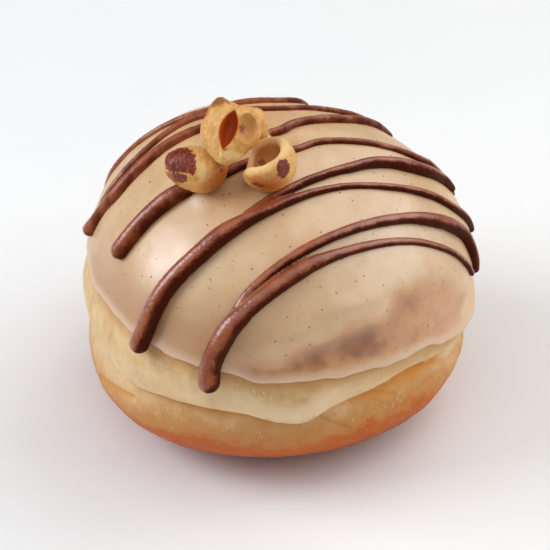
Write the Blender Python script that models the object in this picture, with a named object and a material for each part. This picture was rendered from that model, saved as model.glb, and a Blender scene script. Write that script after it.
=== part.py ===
"""A filled doughnut: a fried bun, a cap of nougat icing, chocolate drizzle and hazelnut pieces.

The bun stands on z = 0 with its axis on the Z axis. -Y is the side that is looked at from the
front and +X is to its right. A place on the bun is given by its azimuth (0 at +X, -90 at the
front) and its rise, the angle above the widest height seen from the middle of the bun. On the
dome, a place is also given as a pair of angles from the crown, to the right and to the back.
"""

import bmesh
import bpy
import numpy as np
from mathutils import Euler

MM = 0.001

# The bun
WIDE_HEIGHT = 26.8 * MM
CROWN_RISE = 38.5 * MM
UNDERSIDE_DROP = 27.6 * MM
UPPER_RADIUS = 42.8 * MM
LOWER_RADIUS = 47.5 * MM
UPPER_FULLNESS = 2.18
LOWER_FULLNESS = 2.46
CROWN_LEAN = 0.012
# The bun is not quite round: (times round, part of the radius, azimuth of the swelling)
UPPER_WAVER = ((1, 0.007, 53), (2, 0.007, 90), (3, 0.045, 6))
LOWER_WAVER = ((1, 0.023, 94), (2, 0.030, -4), (3, 0.014, -4))
LOBE_TOP_RISE = -3.0
LOBE_BLEND = 28.5

# The crease round the bun: (azimuth, height in mm) and (azimuth, depth in mm)
CREASE_HEIGHTS = ((-147, 23.6), (-131, 25.3), (-112, 26.8), (-97, 25.7), (-81, 21.9), (-72, 24.6),
                  (-60, 25.8), (-45, 26.6), (-29, 24.0), (-14, 22.8), (35, 22.5), (90, 23.5),
                  (150, 22.5))
CREASE_DEPTHS = ((-155, 0.6), (-125, 2.2), (-100, 1.9), (-84, 1.7), (-70, 1.5), (-50, 3.0),
                 (-31, 1.7), (-14, 1.8), (40, 2.0), (100, 1.8), (160, 1.5))
# How far the pale band above the crease swells out: (azimuth, swelling in mm)
BAND_SWELLS = ((-165, 1.6), (-130, 1.2), (-90, 0.7), (-40, 0.7), (-10, 1.0), (60, 0.7),
               (130, 0.8))
BAND_REACH = 5.5 * MM
CREASE_ABOVE = 1.0 * MM
CREASE_BELOW = 3.6 * MM
# The band's lip hangs over the crease: part of the crease's depth, and how soon it starts and ends
LIP_HANG = 0.5
LIP_START = 0.6 * MM
LIP_REACH = 2.4 * MM
# Shallow dents at the right, the fold below the crease and the hollow above it: (azimuth, half
# length in degrees, height, reach and depth in mm)
DENTS = ((-20, 18, 18.2, 1.5, 1.6), (-8, 26, 29.0, 4.5, 1.5))

# The icing
ICING_EDGE_HEIGHTS = ((-163, 38.9), (-143, 39.2), (-124, 38.0), (-103, 36.1), (-88, 33.9),
                      (-72, 33.2), (-54, 31.6), (-43, 31.0), (-33, 29.0), (-21, 26.4), (15, 27.0),
                      (60, 31.0), (110, 35.5), (160, 39.0))
ICING_GAP = 0.3 * MM
ICING_THICKNESS = 1.3 * MM
# The rounded edge of the icing: (part of its thickness outwards, distance along the skin)
ICING_LIP = ((0.0, 0.70 * MM), (0.12, 0.10 * MM), (0.50, -0.20 * MM), (0.90, 0.15 * MM),
             (1.08, 0.90 * MM))

# The drizzle: strands through places on the dome, each place the degrees from the crown to the
# right and to the back, and the width of the bead there in mm
STRANDS = {
    "front": ((-21.0, -76.4, 4.6), (-19.5, -72.0, 4.3), (-13.4, -64.6, 4.4), (-9.0, -61.4, 3.9),
              (-6.0, -59.4, 3.3), (5.8, -51.8, 3.4), (11.8, -48.0, 3.1), (18.0, -44.6, 2.5),
              (24.4, -41.1, 2.0), (44.7, -29.8, 1.5), (56.5, -23.8, 1.3), (66.8, -18.4, 1.2),
              (77.0, -13.5, 1.1)),
    "front_branch": ((-13.5, -63.0, 1.8), (-6.2, -55.4, 1.8), (2.8, -48.7, 1.9),
                     (14.8, -40.9, 2.1), (27.3, -32.9, 2.1), (43.5, -22.4, 2.4),
                     (50.5, -18.2, 2.8), (58.5, -13.2, 3.0), (67.0, -8.6, 2.6),
                     (80.0, -6.5, 1.8)),
    "middle": ((-44.3, -60.6, 4.1), (-32.7, -50.8, 3.9), (-20.0, -43.5, 3.8),
               (-12.6, -39.0, 3.8), (-0.2, -32.6, 2.3), (19.0, -22.0, 1.4), (36.5, -14.4, 1.4),
               (50.3, -7.6, 1.6), (59.0, -3.1, 1.7), (66.0, 2.0, 1.9), (74.0, 9.0, 1.8)),
    "middle_branch": ((-6.7, -34.6, 2.2), (5.5, -25.4, 2.0), (17.7, -16.6, 1.9),
                      (24.0, -12.4, 2.2), (30.0, -7.8, 2.4), (36.3, -3.8, 2.5),
                      (42.9, -0.4, 2.8), (51.0, 5.0, 2.6), (62.0, 15.0, 1.9)),
    "short_front": ((-47.5, -31.8, 3.5), (-40.5, -29.0, 3.4), (-33.5, -26.0, 3.4),
                    (-27.9, -23.8, 3.9)),
    "short_back": ((7.9, -7.6, 1.5), (15.0, -2.2, 1.4), (27.3, 2.8, 1.3), (37.0, 6.1, 1.4),
                   (47.7, 10.9, 1.6), (53.0, 17.0, 1.5), (66.0, 24.0, 1.8)),
    "rear_left": ((-64.5, -3.5, 2.2), (-57.0, -5.2, 2.2), (-50.1, -5.9, 2.3),
                  (-41.4, -2.5, 2.3), (-29.7, 3.1, 2.1), (-20.2, 6.1, 1.9)),
    "rear_right": ((0.4, 0.7, 1.8), (3.4, 2.5, 1.9), (6.8, 6.4, 1.9), (14.6, 11.9, 1.9),
                   (24.8, 18.4, 1.9), (32.2, 26.6, 1.9), (41.0, 37.0, 1.7)),
    "rear_branch": ((-60.0, -1.5, 1.6), (-56.3, 1.2, 1.5), (-41.4, 7.5, 1.4),
                    (-25.6, 15.2, 1.5), (-9.4, 16.2, 1.3), (-0.9, 17.4, 1.2), (6.0, 20.0, 1.2),
                    (12.4, 23.9, 1.2), (19.0, 27.1, 1.3), (30.0, 33.0, 1.8), (38.0, 42.0, 1.6)),
    "far": ((-66.0, 36.0, 1.2), (-56.0, 26.0, 1.3), (-44.0, 21.7, 1.4), (-20.3, 20.0, 1.4),
            (-13.0, 23.1, 1.3), (-9.6, 24.6, 1.4), (-2.8, 26.5, 1.5), (2.9, 29.0, 1.4),
            (9.0, 38.0, 1.5), (14.0, 52.0, 1.5)),
}
BEAD_SIDES = 6
# How far a bead's middle line is above the icing, as a part of its width
BEAD_LIFT = 0.28
BEAD_STEP = 4.0 * MM
# A bead's end: how far its last ring is ahead, as a part of the width, and that ring's size
END_REACH = 0.36
END_SIZE = 0.7

# The hazelnut pieces: each one's middle, and its turn about X, Y and Z in degrees
WHOLE_NUT_PLACE = (-15.5 * MM, -16.7 * MM, 68.75 * MM)
WHOLE_NUT_TURN = (0, 9, -4)
WHOLE_NUT_HALF = (6.6 * MM, 4.6 * MM, 4.6 * MM)
WHOLE_NUT_TAPER = 0.06
BLUNT_END = 2.3
ROUND_END = 2.0
SPLIT_NUT_PLACE = (-8.4 * MM, -15.7 * MM, 76.95 * MM)
SPLIT_NUT_TURN = (-42, 0, 0)
# The split kernel's outline, seen from its front: (angle from its right, distance in mm)
SPLIT_NUT_OUTLINE = ((-50, 5.7), (-16, 6.3), (13, 6.7), (30, 7.0), (43, 7.0), (58, 6.2), (76, 5.8),
                     (90, 6.3), (104, 7.3), (120, 7.0), (140, 5.9), (176, 6.0), (208, 6.1),
                     (238, 6.4), (256, 7.0), (278, 6.6))
SPLIT_NUT_FRONT = 3.6 * MM
SPLIT_NUT_BACK = 2.3 * MM
SPLIT_NUT_COLUMNS = 26
SLOT_LENGTH = 9.0 * MM
SLOT_WIDTH = 3.4 * MM
SLOT_DEPTH = 3.2 * MM
SLOT_TILT = 16
SLOT_MIDDLE = (0.0 * MM, -3.6 * MM, -0.1 * MM)
HOLLOW_MIDDLE = (4.0 * MM, -2.95 * MM, 0.0 * MM)
HOLLOW_HALF = (2.2 * MM, 1.9 * MM, 3.4 * MM)
BACK_NUT_PLACE = (-3.0 * MM, -5.8 * MM, 71.7 * MM)
BACK_NUT_TURN = (0, 0, 10)
BACK_NUT_HALF = (2.7 * MM, 3.6 * MM, 4.6 * MM)
BACK_NUT_FLATNESS = 0.35
CUP_NUT_PLACE = (-0.3 * MM, -17.8 * MM, 70.2 * MM)
CUP_NUT_TURN = (4, -24, 0)
# The cup's section, from its round end over the rim to its hollow: (radius, height) in mm
CUP_PROFILE = ((0, -4.7), (2.8, -4.4), (4.7, -3.1), (5.8, -1.0), (5.9, 1.2), (5.5, 2.8),
               (4.7, 3.4), (3.9, 2.9), (3.4, 1.2), (2.3, -0.4), (0, -1.0))
# The cup's wall is broken down at its left, above this height: where, over how many degrees to
# each side, and how much of the wall's height is missing
CUP_BREAK_FOOT = -1.0 * MM
CUP_BREAK_TOWARDS = 165
CUP_BREAK_SPREAD = 65
CUP_BREAK_PART = 0.75

# How finely the solids are cut
COLUMNS = 72
BASE_ROWS = (-62.0, -55.0, -48.0, -41.0, -33.0, -25.0, -17.5)
CREASE_ROWS = (-6.2 * MM, -4.8 * MM, -3.4 * MM, -1.7 * MM, -0.5 * MM, 0.5 * MM, 1.2 * MM, 2.2 * MM)
BAND_ROWS = 3
HIDDEN_ROWS = 5
ICING_ROWS = 10
NUT_COLUMNS = 18
NUT_ROWS = 12
PATH_FINENESS = 20
POLE = 90.0
LEAST_SINE = 0.001
MERGE_DISTANCE = 0.02 * MM


def ease(value):
    """0 below 0, 1 above 1, and a smooth step between."""
    value = np.clip(value, 0.0, 1.0)
    return value * value * (3.0 - 2.0 * value)


def waver(azimuth, swellings):
    """How much the bun's radius is swollen at an azimuth, as a factor."""
    factor = np.ones_like(azimuth)
    for times, part, towards in swellings:
        factor = factor + part * np.cos(np.radians(times * (azimuth - towards)))
    return factor


def around(azimuth, stations):
    """A value that runs smoothly round the bun through its (azimuth, value) stations."""
    places, values = np.array(stations, float).T
    places = np.concatenate([places[-2:] - 360, places, places[:2] + 360])
    values = np.concatenate([values[-2:], values, values[:2]])
    slopes = np.gradient(values, places)
    turned = (np.asarray(azimuth, float) - places[1]) % 360 + places[1]
    index = np.clip(np.searchsorted(places, turned, side="right") - 1, 0, len(places) - 2)
    span = places[index + 1] - places[index]
    t = (turned - places[index]) / span
    return ((1 + 2 * t) * (1 - t) ** 2 * values[index] + t * t * (3 - 2 * t) * values[index + 1]
            + span * t * (1 - t) * ((1 - t) * slopes[index] - t * slopes[index + 1]))


def rise_of(height_mm):
    """The rise, in degrees, at which the bun's side reaches a height."""
    return np.degrees(np.arcsin((height_mm * MM - WIDE_HEIGHT) / UPPER_RADIUS))


def crease_rise(azimuth):
    return rise_of(around(azimuth, CREASE_HEIGHTS))


def icing_rise(azimuth):
    return rise_of(around(azimuth, ICING_EDGE_HEIGHTS))


def smooth_radius(azimuth, rise):
    """Distance from the bun's middle to its skin, before the crease is pressed in."""
    azimuth, rise = np.broadcast_arrays(np.asarray(azimuth, float), np.asarray(rise, float))
    up = np.radians(rise)
    to_upper = ease((rise - LOBE_TOP_RISE) / LOBE_BLEND + 1)
    lower = LOWER_RADIUS * waver(azimuth, LOWER_WAVER)
    upper = UPPER_RADIUS * waver(azimuth, UPPER_WAVER)
    across = lower + (upper - lower) * to_upper
    above = CROWN_RISE * (1 - CROWN_LEAN * np.cos(np.radians(azimuth)))
    height = np.where(rise > 0, above, UNDERSIDE_DROP)
    power = np.where(rise > 0, UPPER_FULLNESS, LOWER_FULLNESS)
    bulk = (np.cos(up) / across) ** power + (np.abs(np.sin(up)) / height) ** power
    rounded = bulk ** (-1 / power)
    to_base = WIDE_HEIGHT / np.maximum(-np.sin(up), LEAST_SINE)
    return np.minimum(rounded, to_base)


def dough_point(azimuth, rise):
    """The bun's skin: smooth body, swollen band, and the crease under the band's hanging lip."""
    azimuth, rise = np.broadcast_arrays(np.asarray(azimuth, float), np.asarray(rise, float))
    above_crease = np.radians(rise - crease_rise(azimuth)) * UPPER_RADIUS
    reach = np.where(above_crease > 0, CREASE_ABOVE, CREASE_BELOW)
    depth = around(azimuth, CREASE_DEPTHS) * MM
    pressed = depth * np.exp(-(above_crease / reach) ** 2)
    for towards, half_length, height, reach, dent in DENTS:
        off = np.radians(rise - rise_of(height)) * UPPER_RADIUS / (reach * MM)
        along = (azimuth - towards) / half_length
        pressed = pressed + dent * MM * np.exp(-off ** 2 - along ** 2)
    middle = (icing_rise(azimuth) + crease_rise(azimuth)) / 2
    from_middle = np.radians(rise - middle) * UPPER_RADIUS
    swell = around(azimuth, BAND_SWELLS) * MM * np.exp(-(from_middle / BAND_REACH) ** 2)
    radius = smooth_radius(azimuth, rise) + swell - pressed
    hang = LIP_HANG * depth * ease(above_crease / LIP_START) * ease(2 - above_crease / LIP_REACH)
    return polar(azimuth, rise, radius) - np.stack([0 * hang, 0 * hang, hang], -1)


def polar(azimuth, rise, radius):
    """The point at a distance from the bun's middle, in a direction."""
    turn, up = np.radians(azimuth), np.radians(rise)
    return np.stack([radius * np.cos(up) * np.cos(turn), radius * np.cos(up) * np.sin(turn),
                     WIDE_HEIGHT + radius * np.sin(up)], -1)


def over_dough(azimuth, rise, distance):
    """A point at a distance outside the bun's skin, above the crease."""
    azimuth, rise = np.broadcast_arrays(np.asarray(azimuth, float), np.asarray(rise, float))
    skin = dough_point(azimuth, rise)
    outwards = skin - np.array([0, 0, WIDE_HEIGHT])
    outwards = outwards / np.linalg.norm(outwards, axis=-1, keepdims=True)
    return skin + outwards * np.asarray(distance)[..., None]


def smooth_path(points, step):
    """Points at even steps along a smooth curve through the given ones."""
    points = np.array(points, float)
    ends = np.concatenate([[2 * points[0] - points[1]], points, [2 * points[-1] - points[-2]]])
    fine = []
    for a, b, c, d in zip(ends, ends[1:], ends[2:], ends[3:]):
        t = np.linspace(0, 1, PATH_FINENESS, endpoint=False)[:, None]
        fine.append(0.5 * (2 * b + (c - a) * t + (2 * a - 5 * b + 4 * c - d) * t ** 2
                           + (3 * b - a - 3 * c + d) * t ** 3))
    fine = np.concatenate(fine + [points[-1:]])
    along = np.concatenate([[0], np.cumsum(np.linalg.norm(np.diff(fine, axis=0), axis=1))])
    even = np.linspace(0, along[-1], round(along[-1] / step) + 1)
    return np.stack([np.interp(even, along, fine[:, k]) for k in range(fine.shape[1])], -1)


def strand_centres(places):
    """The middle line of a strand on the icing, and its width at each point."""
    step = np.degrees(BEAD_STEP / (UPPER_RADIUS + ICING_THICKNESS))
    right, back, width = smooth_path(places, step).T
    azimuth = np.degrees(np.arctan2(back, right))
    rise = POLE - np.hypot(right, back)
    width = width * MM
    lift = ICING_GAP + ICING_THICKNESS + BEAD_LIFT * width
    return over_dough(azimuth, rise, lift), width


def ring_solid(name, rings, material):
    """A closed solid skinned over rings of points, whose first and last rings are single points."""
    rings = np.asarray(rings, float)
    count = rings.shape[1]
    mesh = bmesh.new()
    first = mesh.verts.new(rings[0, 0])
    last = mesh.verts.new(rings[-1, 0])
    loops = [[mesh.verts.new(point) for point in ring] for ring in rings[1:-1]]
    for k in range(count):
        after = (k + 1) % count
        mesh.faces.new((first, loops[0][after], loops[0][k]))
        mesh.faces.new((last, loops[-1][k], loops[-1][after]))
        for lower, upper in zip(loops, loops[1:]):
            mesh.faces.new((lower[k], lower[after], upper[after], upper[k]))
    bmesh.ops.triangulate(mesh, faces=mesh.faces[:])
    if mesh.calc_volume(signed=True) < 0:
        bmesh.ops.reverse_faces(mesh, faces=mesh.faces[:])
    data = bpy.data.meshes.new(name)
    mesh.to_mesh(data)
    mesh.free()
    if material:
        data.materials.append(material)
    data.shade_smooth()
    solid = bpy.data.objects.new(name, data)
    bpy.context.scene.collection.objects.link(solid)
    return solid


def plain_material(name, colour, roughness):
    """A Principled BSDF with one colour."""
    material = bpy.data.materials.new(name)
    material.use_nodes = True
    shader = material.node_tree.nodes["Principled BSDF"]
    shader.inputs["Base Color"].default_value = (*colour, 1)
    shader.inputs["Roughness"].default_value = roughness
    shader.inputs["Metallic"].default_value = 0
    return material


def hidden_rises(azimuth):
    """The rows of the dome under the icing, from just inside the icing's edge to the crown."""
    start = icing_rise(azimuth) + np.degrees(ICING_LIP[0][1] / UPPER_RADIUS)
    return [start + (POLE - start) * k / HIDDEN_ROWS for k in range(HIDDEN_ROWS + 1)]


def build_bun(azimuth):
    """The fried dough, with its flat base, its crease and its pale band."""
    crease = crease_rise(azimuth)
    edge = icing_rise(azimuth)
    rises = [0 * azimuth - POLE]
    rises += [0 * azimuth + rise for rise in BASE_ROWS]
    rises += [crease + np.degrees(step / UPPER_RADIUS) for step in CREASE_ROWS]
    top_of_crease = rises[-1]
    rises += [top_of_crease + (edge - top_of_crease) * k / BAND_ROWS
              for k in range(1, BAND_ROWS)]
    rises += hidden_rises(azimuth)
    rings = [dough_point(azimuth, rise) for rise in rises]
    return ring_solid("dough", rings, plain_material("fried_dough", (0.72, 0.50, 0.27), 0.6))


def build_icing(azimuth):
    """The cap of icing, a thin shell with a rounded edge, a hair clear of the dough."""
    edge = icing_rise(azimuth)
    rings = [over_dough(azimuth, rise, 0 * azimuth + ICING_GAP)
             for rise in reversed(hidden_rises(azimuth))]
    for part, along in ICING_LIP[1:]:
        rise = edge + np.degrees(along / UPPER_RADIUS)
        rings.append(over_dough(azimuth, rise, 0 * azimuth + ICING_GAP + part * ICING_THICKNESS))
    shoulder = rise
    for k in range(1, ICING_ROWS + 1):
        rise = shoulder + (POLE - shoulder) * k / ICING_ROWS
        rings.append(over_dough(azimuth, rise, 0 * azimuth + ICING_GAP + ICING_THICKNESS))
    return ring_solid("icing", rings, plain_material("nougat_icing", (0.62, 0.45, 0.30), 0.3))


def build_strand(name, places, material):
    """One strand of drizzle: a bead along its path, with rounded ends."""
    centres, width = strand_centres(places)
    forwards = np.gradient(centres, axis=0)
    forwards /= np.linalg.norm(forwards, axis=1, keepdims=True)
    outwards = centres - np.array([0, 0, WIDE_HEIGHT])
    outwards -= forwards * np.sum(outwards * forwards, axis=1, keepdims=True)
    outwards /= np.linalg.norm(outwards, axis=1, keepdims=True)
    sideways = np.cross(forwards, outwards)
    turn = np.radians(np.arange(BEAD_SIDES) * 360 / BEAD_SIDES)
    half = width[:, None, None] / 2
    rings = (centres[:, None] + half * (outwards[:, None] * np.cos(turn)[:, None]
                                        + sideways[:, None] * np.sin(turn)[:, None]))
    caps = []
    for end, sign in ((0, -1), (-1, 1)):
        tip = centres[end] + sign * forwards[end] * width[end] / 2
        shoulder = centres[end] + sign * forwards[end] * width[end] * END_REACH
        caps.append((tip + 0 * rings[end], shoulder + (rings[end] - centres[end]) * END_SIZE))
    rings = np.concatenate([[caps[0][0], caps[0][1]], rings, [caps[1][1], caps[1][0]]])
    return ring_solid(name, rings, material)


def apply_modifiers(solid):
    """Keep the shape that the object's modifiers give, and drop the modifiers."""
    evaluated = solid.evaluated_get(bpy.context.evaluated_depsgraph_get())
    shaped = bpy.data.meshes.new_from_object(evaluated)
    solid.modifiers.clear()
    solid.data = shaped


def cut(solid, cutter):
    """Take the cutter's shape out of a solid, then remove the cutter."""
    difference = solid.modifiers.new("cut", "BOOLEAN")
    difference.operation = "DIFFERENCE"
    difference.solver = "EXACT"
    difference.object = cutter
    apply_modifiers(solid)
    bpy.data.objects.remove(cutter)


def join_drizzle(icing):
    """Fuse every strand to the icing with one union, then remove the strands."""
    material = plain_material("milk_chocolate", (0.18, 0.06, 0.03), 0.3)
    strands = bpy.data.collections.new("drizzle")
    bpy.context.scene.collection.children.link(strands)
    for name, places in STRANDS.items():
        strand = build_strand("strand_" + name, places, material)
        bpy.context.scene.collection.objects.unlink(strand)
        strands.objects.link(strand)
    union = icing.modifiers.new("drizzle", "BOOLEAN")
    union.operation = "UNION"
    union.solver = "EXACT"
    union.operand_type = "COLLECTION"
    union.collection = strands
    apply_modifiers(icing)
    for strand in list(strands.objects):
        bpy.data.objects.remove(strand)
    bpy.data.collections.remove(strands)


def shells(mesh):
    """The mesh's faces, in groups that hang together."""
    left = dict.fromkeys(mesh.faces)
    groups = []
    while left:
        group = [left.popitem()[0]]
        for face in group:
            around_face = [neighbour for edge in face.edges for neighbour in edge.link_faces]
            for neighbour in around_face:
                if neighbour in left:
                    del left[neighbour]
                    group.append(neighbour)
        groups.append(group)
    return groups


def clean(solid):
    """Merge points that all but touch, drop faces with no area and fill sealed pockets."""
    mesh = bmesh.new()
    mesh.from_mesh(solid.data)
    bmesh.ops.remove_doubles(mesh, verts=mesh.verts[:], dist=MERGE_DISTANCE)
    bmesh.ops.dissolve_degenerate(mesh, edges=mesh.edges[:], dist=MERGE_DISTANCE / 2)
    bmesh.ops.triangulate(mesh, faces=mesh.faces[:])
    pockets = sorted(shells(mesh), key=len)[:-1]
    bmesh.ops.delete(mesh, geom=[face for pocket in pockets for face in pocket], context="FACES")
    mesh.to_mesh(solid.data)
    mesh.free()


def placed(points, place, turn):
    """Points turned about X, Y and Z in that order, then moved to their place."""
    rotation = np.array(Euler(np.radians(turn)).to_matrix())
    return points @ rotation.T + np.array(place)


def kernel_directions():
    """Directions over a ball, in rings from its lowest point to its highest."""
    turn = np.radians(np.arange(NUT_COLUMNS) * 360 / NUT_COLUMNS)
    up = np.radians(np.linspace(-POLE, POLE, NUT_ROWS + 1))[:, None]
    return np.stack(np.broadcast_arrays(np.cos(up) * np.cos(turn), np.cos(up) * np.sin(turn),
                                        np.sin(up)), -1)


def build_whole_nut(material):
    """A whole kernel lying on its side, narrower at its left end."""
    points = kernel_directions()
    along = points[..., :1]
    taper = 1 + WHOLE_NUT_TAPER * along
    bluntness = np.where(along > 0, BLUNT_END, ROUND_END)
    points = points * np.sum(np.abs(points) ** bluntness, -1, keepdims=True) ** (-1 / bluntness)
    points = points * np.array(WHOLE_NUT_HALF)
    points[..., 1:] *= taper
    return ring_solid("nut_whole", placed(points, WHOLE_NUT_PLACE, WHOLE_NUT_TURN), material)


def slot_cutter():
    """A lens-shaped solid, pointed above and below, that opens the split kernel's front."""
    turn = np.radians(np.arange(NUT_COLUMNS) * 360 / NUT_COLUMNS)
    rings = []
    for t in np.linspace(-1, 1, NUT_ROWS + 1):
        half_width = SLOT_WIDTH / 2 * (1 - t * t)
        half_depth = SLOT_DEPTH * (1 - t * t) ** 0.5
        rings.append(np.stack([half_width * np.cos(turn), half_depth * np.sin(turn),
                               0 * turn + t * SLOT_LENGTH / 2], -1))
    points = placed(np.array(rings), SLOT_MIDDLE, (0, SLOT_TILT, 0))
    return ring_solid("slot_cutter", placed(points, SPLIT_NUT_PLACE, SPLIT_NUT_TURN), None)


def hollow_cutter():
    """A ball that scoops the hollow out of the split kernel's right half."""
    points = kernel_directions() * np.array(HOLLOW_HALF) + np.array(HOLLOW_MIDDLE)
    return ring_solid("hollow_cutter", placed(points, SPLIT_NUT_PLACE, SPLIT_NUT_TURN), None)


def build_split_nut(material):
    """A kernel on end, split open at the front, its right half shorter and hollowed."""
    turn = np.arange(SPLIT_NUT_COLUMNS) * 360 / SPLIT_NUT_COLUMNS
    outline = around(turn, SPLIT_NUT_OUTLINE) * MM
    rings = []
    for back in np.radians(np.linspace(-POLE, POLE, NUT_ROWS + 1)):
        depth = SPLIT_NUT_BACK if back > 0 else SPLIT_NUT_FRONT
        across = outline * np.cos(back)
        rings.append(np.stack([across * np.cos(np.radians(turn)), 0 * turn + depth * np.sin(back),
                               across * np.sin(np.radians(turn))], -1))
    points = np.array(rings)
    nut = ring_solid("nut_split", placed(points, SPLIT_NUT_PLACE, SPLIT_NUT_TURN), material)
    for cutter in (slot_cutter(), hollow_cutter()):
        cut(nut, cutter)
    return nut


def build_back_nut(material):
    """A half kernel on edge behind the split one, flat on the side that faces it."""
    points = kernel_directions() * np.array(BACK_NUT_HALF)
    flat = points[..., 0] < 0
    points[..., 0] = np.where(flat, points[..., 0] * BACK_NUT_FLATNESS, points[..., 0])
    return ring_solid("nut_back", placed(points, BACK_NUT_PLACE, BACK_NUT_TURN), material)


def build_cup_nut(material):
    """Half a kernel hollowed like a cup, leaning to the left, its wall broken down there."""
    degrees = np.arange(NUT_COLUMNS) * 360 / NUT_COLUMNS
    turn = np.radians(degrees)
    kept = 1 - CUP_BREAK_PART * ease(1 - np.abs(degrees - CUP_BREAK_TOWARDS) / CUP_BREAK_SPREAD)
    rings = []
    for radius, height in CUP_PROFILE:
        above = height * MM - CUP_BREAK_FOOT
        up = CUP_BREAK_FOOT + (above * kept if above > 0 else above + 0 * turn)
        rings.append(np.stack([radius * MM * np.cos(turn), radius * MM * np.sin(turn), up], -1))
    return ring_solid("nut_cup", placed(np.array(rings), CUP_NUT_PLACE, CUP_NUT_TURN), material)


def main():
    for leftover in list(bpy.data.objects):
        bpy.data.objects.remove(leftover)
    azimuth = np.arange(COLUMNS) * 360 / COLUMNS - 180
    build_bun(azimuth)
    icing = build_icing(azimuth)
    join_drizzle(icing)
    clean(icing)
    nut = plain_material("hazelnut", (0.75, 0.50, 0.22), 0.5)
    build_whole_nut(nut)
    clean(build_split_nut(nut))
    build_back_nut(nut)
    build_cup_nut(nut)


if __name__ == "__main__":
    main()
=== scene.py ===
# %% [markdown]
# # A filled doughnut with nougat icing
#
# This lesson dresses one filled doughnut: a fried yeast bun, a cap of satin nougat icing, strands
# of milk chocolate piped over it, and four pieces of roasted hazelnut in a heap on top. The plain
# solids that carry the real sizes are loaded first, and every piece made here stands exactly where
# its solid does.

import bmesh
import bpy
import numpy as np
from mathutils import Euler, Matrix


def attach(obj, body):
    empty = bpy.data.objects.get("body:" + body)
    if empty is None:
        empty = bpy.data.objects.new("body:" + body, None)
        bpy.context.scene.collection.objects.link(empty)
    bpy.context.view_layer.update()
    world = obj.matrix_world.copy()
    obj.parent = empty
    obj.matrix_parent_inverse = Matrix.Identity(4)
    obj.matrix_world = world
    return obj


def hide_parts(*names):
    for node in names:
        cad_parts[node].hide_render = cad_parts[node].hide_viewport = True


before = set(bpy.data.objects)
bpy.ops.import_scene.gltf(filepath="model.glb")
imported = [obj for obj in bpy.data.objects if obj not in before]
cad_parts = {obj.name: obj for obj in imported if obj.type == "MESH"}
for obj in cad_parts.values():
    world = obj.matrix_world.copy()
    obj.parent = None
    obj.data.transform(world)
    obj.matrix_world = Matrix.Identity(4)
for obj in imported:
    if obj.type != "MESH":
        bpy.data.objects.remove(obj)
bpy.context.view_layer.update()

MM = 0.001
print("solids:", sorted(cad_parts))


# %% Small helpers: objects, steps round a circle, directions
def add_object(name, data):
    """A new object in the scene."""
    item = bpy.data.objects.new(name, data)
    bpy.context.scene.collection.objects.link(item)
    return item


def steps_round(count, start=0):
    """Even steps once round a circle, in degrees."""
    return np.arange(count) * 360 / count + start


def directions(azimuth, rise):
    """Vectors of length 1 that point some way round and some way up, in degrees."""
    turn, up = np.radians(azimuth), np.radians(rise)
    return np.stack(np.broadcast_arrays(np.cos(up) * np.cos(turn), np.cos(up) * np.sin(turn),
                                        np.sin(up)), -1)


def unit(vectors):
    """The same vectors with length 1."""
    return vectors / np.linalg.norm(vectors, axis=-1, keepdims=True)


# %% [markdown]
# ## The view
#
# Food is usually photographed from a little above, with a long lens, so that its top and its side
# both show and the far edge does not shrink. Here the camera looks down at 35 degrees from 420 mm
# away. Its focal length follows from how large the doughnut stands in a square picture.

# %% Camera
VIEW_ELEVATION = 35.0
VIEW_DISTANCE = 420 * MM
VIEW_TARGET = np.array([0.91, 0.0, 30.33]) * MM
FOCAL_LENGTH = 122.45
SENSOR_WIDTH = 36.0


def place_camera():
    """A long lens aimed at the middle of the doughnut."""
    tilt = np.radians(VIEW_ELEVATION)
    away = np.array([0, -np.cos(tilt), np.sin(tilt)])
    lens = bpy.data.cameras.new("camera")
    lens.lens = FOCAL_LENGTH
    lens.sensor_width = SENSOR_WIDTH
    lens.clip_start = 10 * MM
    camera = add_object("camera", lens)
    camera.location = VIEW_TARGET + VIEW_DISTANCE * away
    camera.rotation_euler = (np.pi / 2 - tilt, 0, 0)
    bpy.context.scene.camera = camera
    return camera


print("camera at", [round(value, 3) for value in place_camera().location])

# %% [markdown]
# ## The shape of the bun
#
# A yeast bun fries floating, first on one side and then on the other, so both its halves brown and
# a paler band stays between them. It is round but never exact. A formula describes it well: each
# direction from the middle gets a distance, from an upper dome and a lower lobe that are blended,
# with a slight waver round the bun. A formula can be cut as finely as wanted, which is why the skin
# is made again here rather than smoothed from the coarse solid.

# %% Sizes of the bun
WIDE_HEIGHT = 26.8 * MM
CROWN_RISE = 38.5 * MM
UNDERSIDE_DROP = 27.6 * MM
UPPER_RADIUS = 42.8 * MM
LOWER_RADIUS = 47.5 * MM
UPPER_FULLNESS = 2.18
LOWER_FULLNESS = 2.46
CROWN_LEAN = 0.012
# Swellings of the radius: how many round the bun, their part of the radius, and towards where
UPPER_WAVER = ((1, 0.007, 53), (2, 0.007, 90), (3, 0.045, 6))
LOWER_WAVER = ((1, 0.023, 94), (2, 0.030, -4), (3, 0.014, -4))
LOBE_TOP_RISE = -3.0
LOBE_BLEND = 28.5
POLE = 90.0
LEAST_DIVISOR = 0.001


# %% Lengths on the bun's side as angles, and angles as lengths
def side_length(degrees):
    """The length in metres that an angle spans on the bun's side."""
    return np.radians(degrees) * UPPER_RADIUS


def side_angle(length):
    """The angle in degrees that a length spans on the bun's side."""
    return np.degrees(length / UPPER_RADIUS)


# %% A smooth step, a smooth run round the bun, and its waver
def ease(value):
    """0 below 0, 1 above 1, and a smooth step between."""
    value = np.clip(value, 0.0, 1.0)
    return value * value * (3.0 - 2.0 * value)


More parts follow.
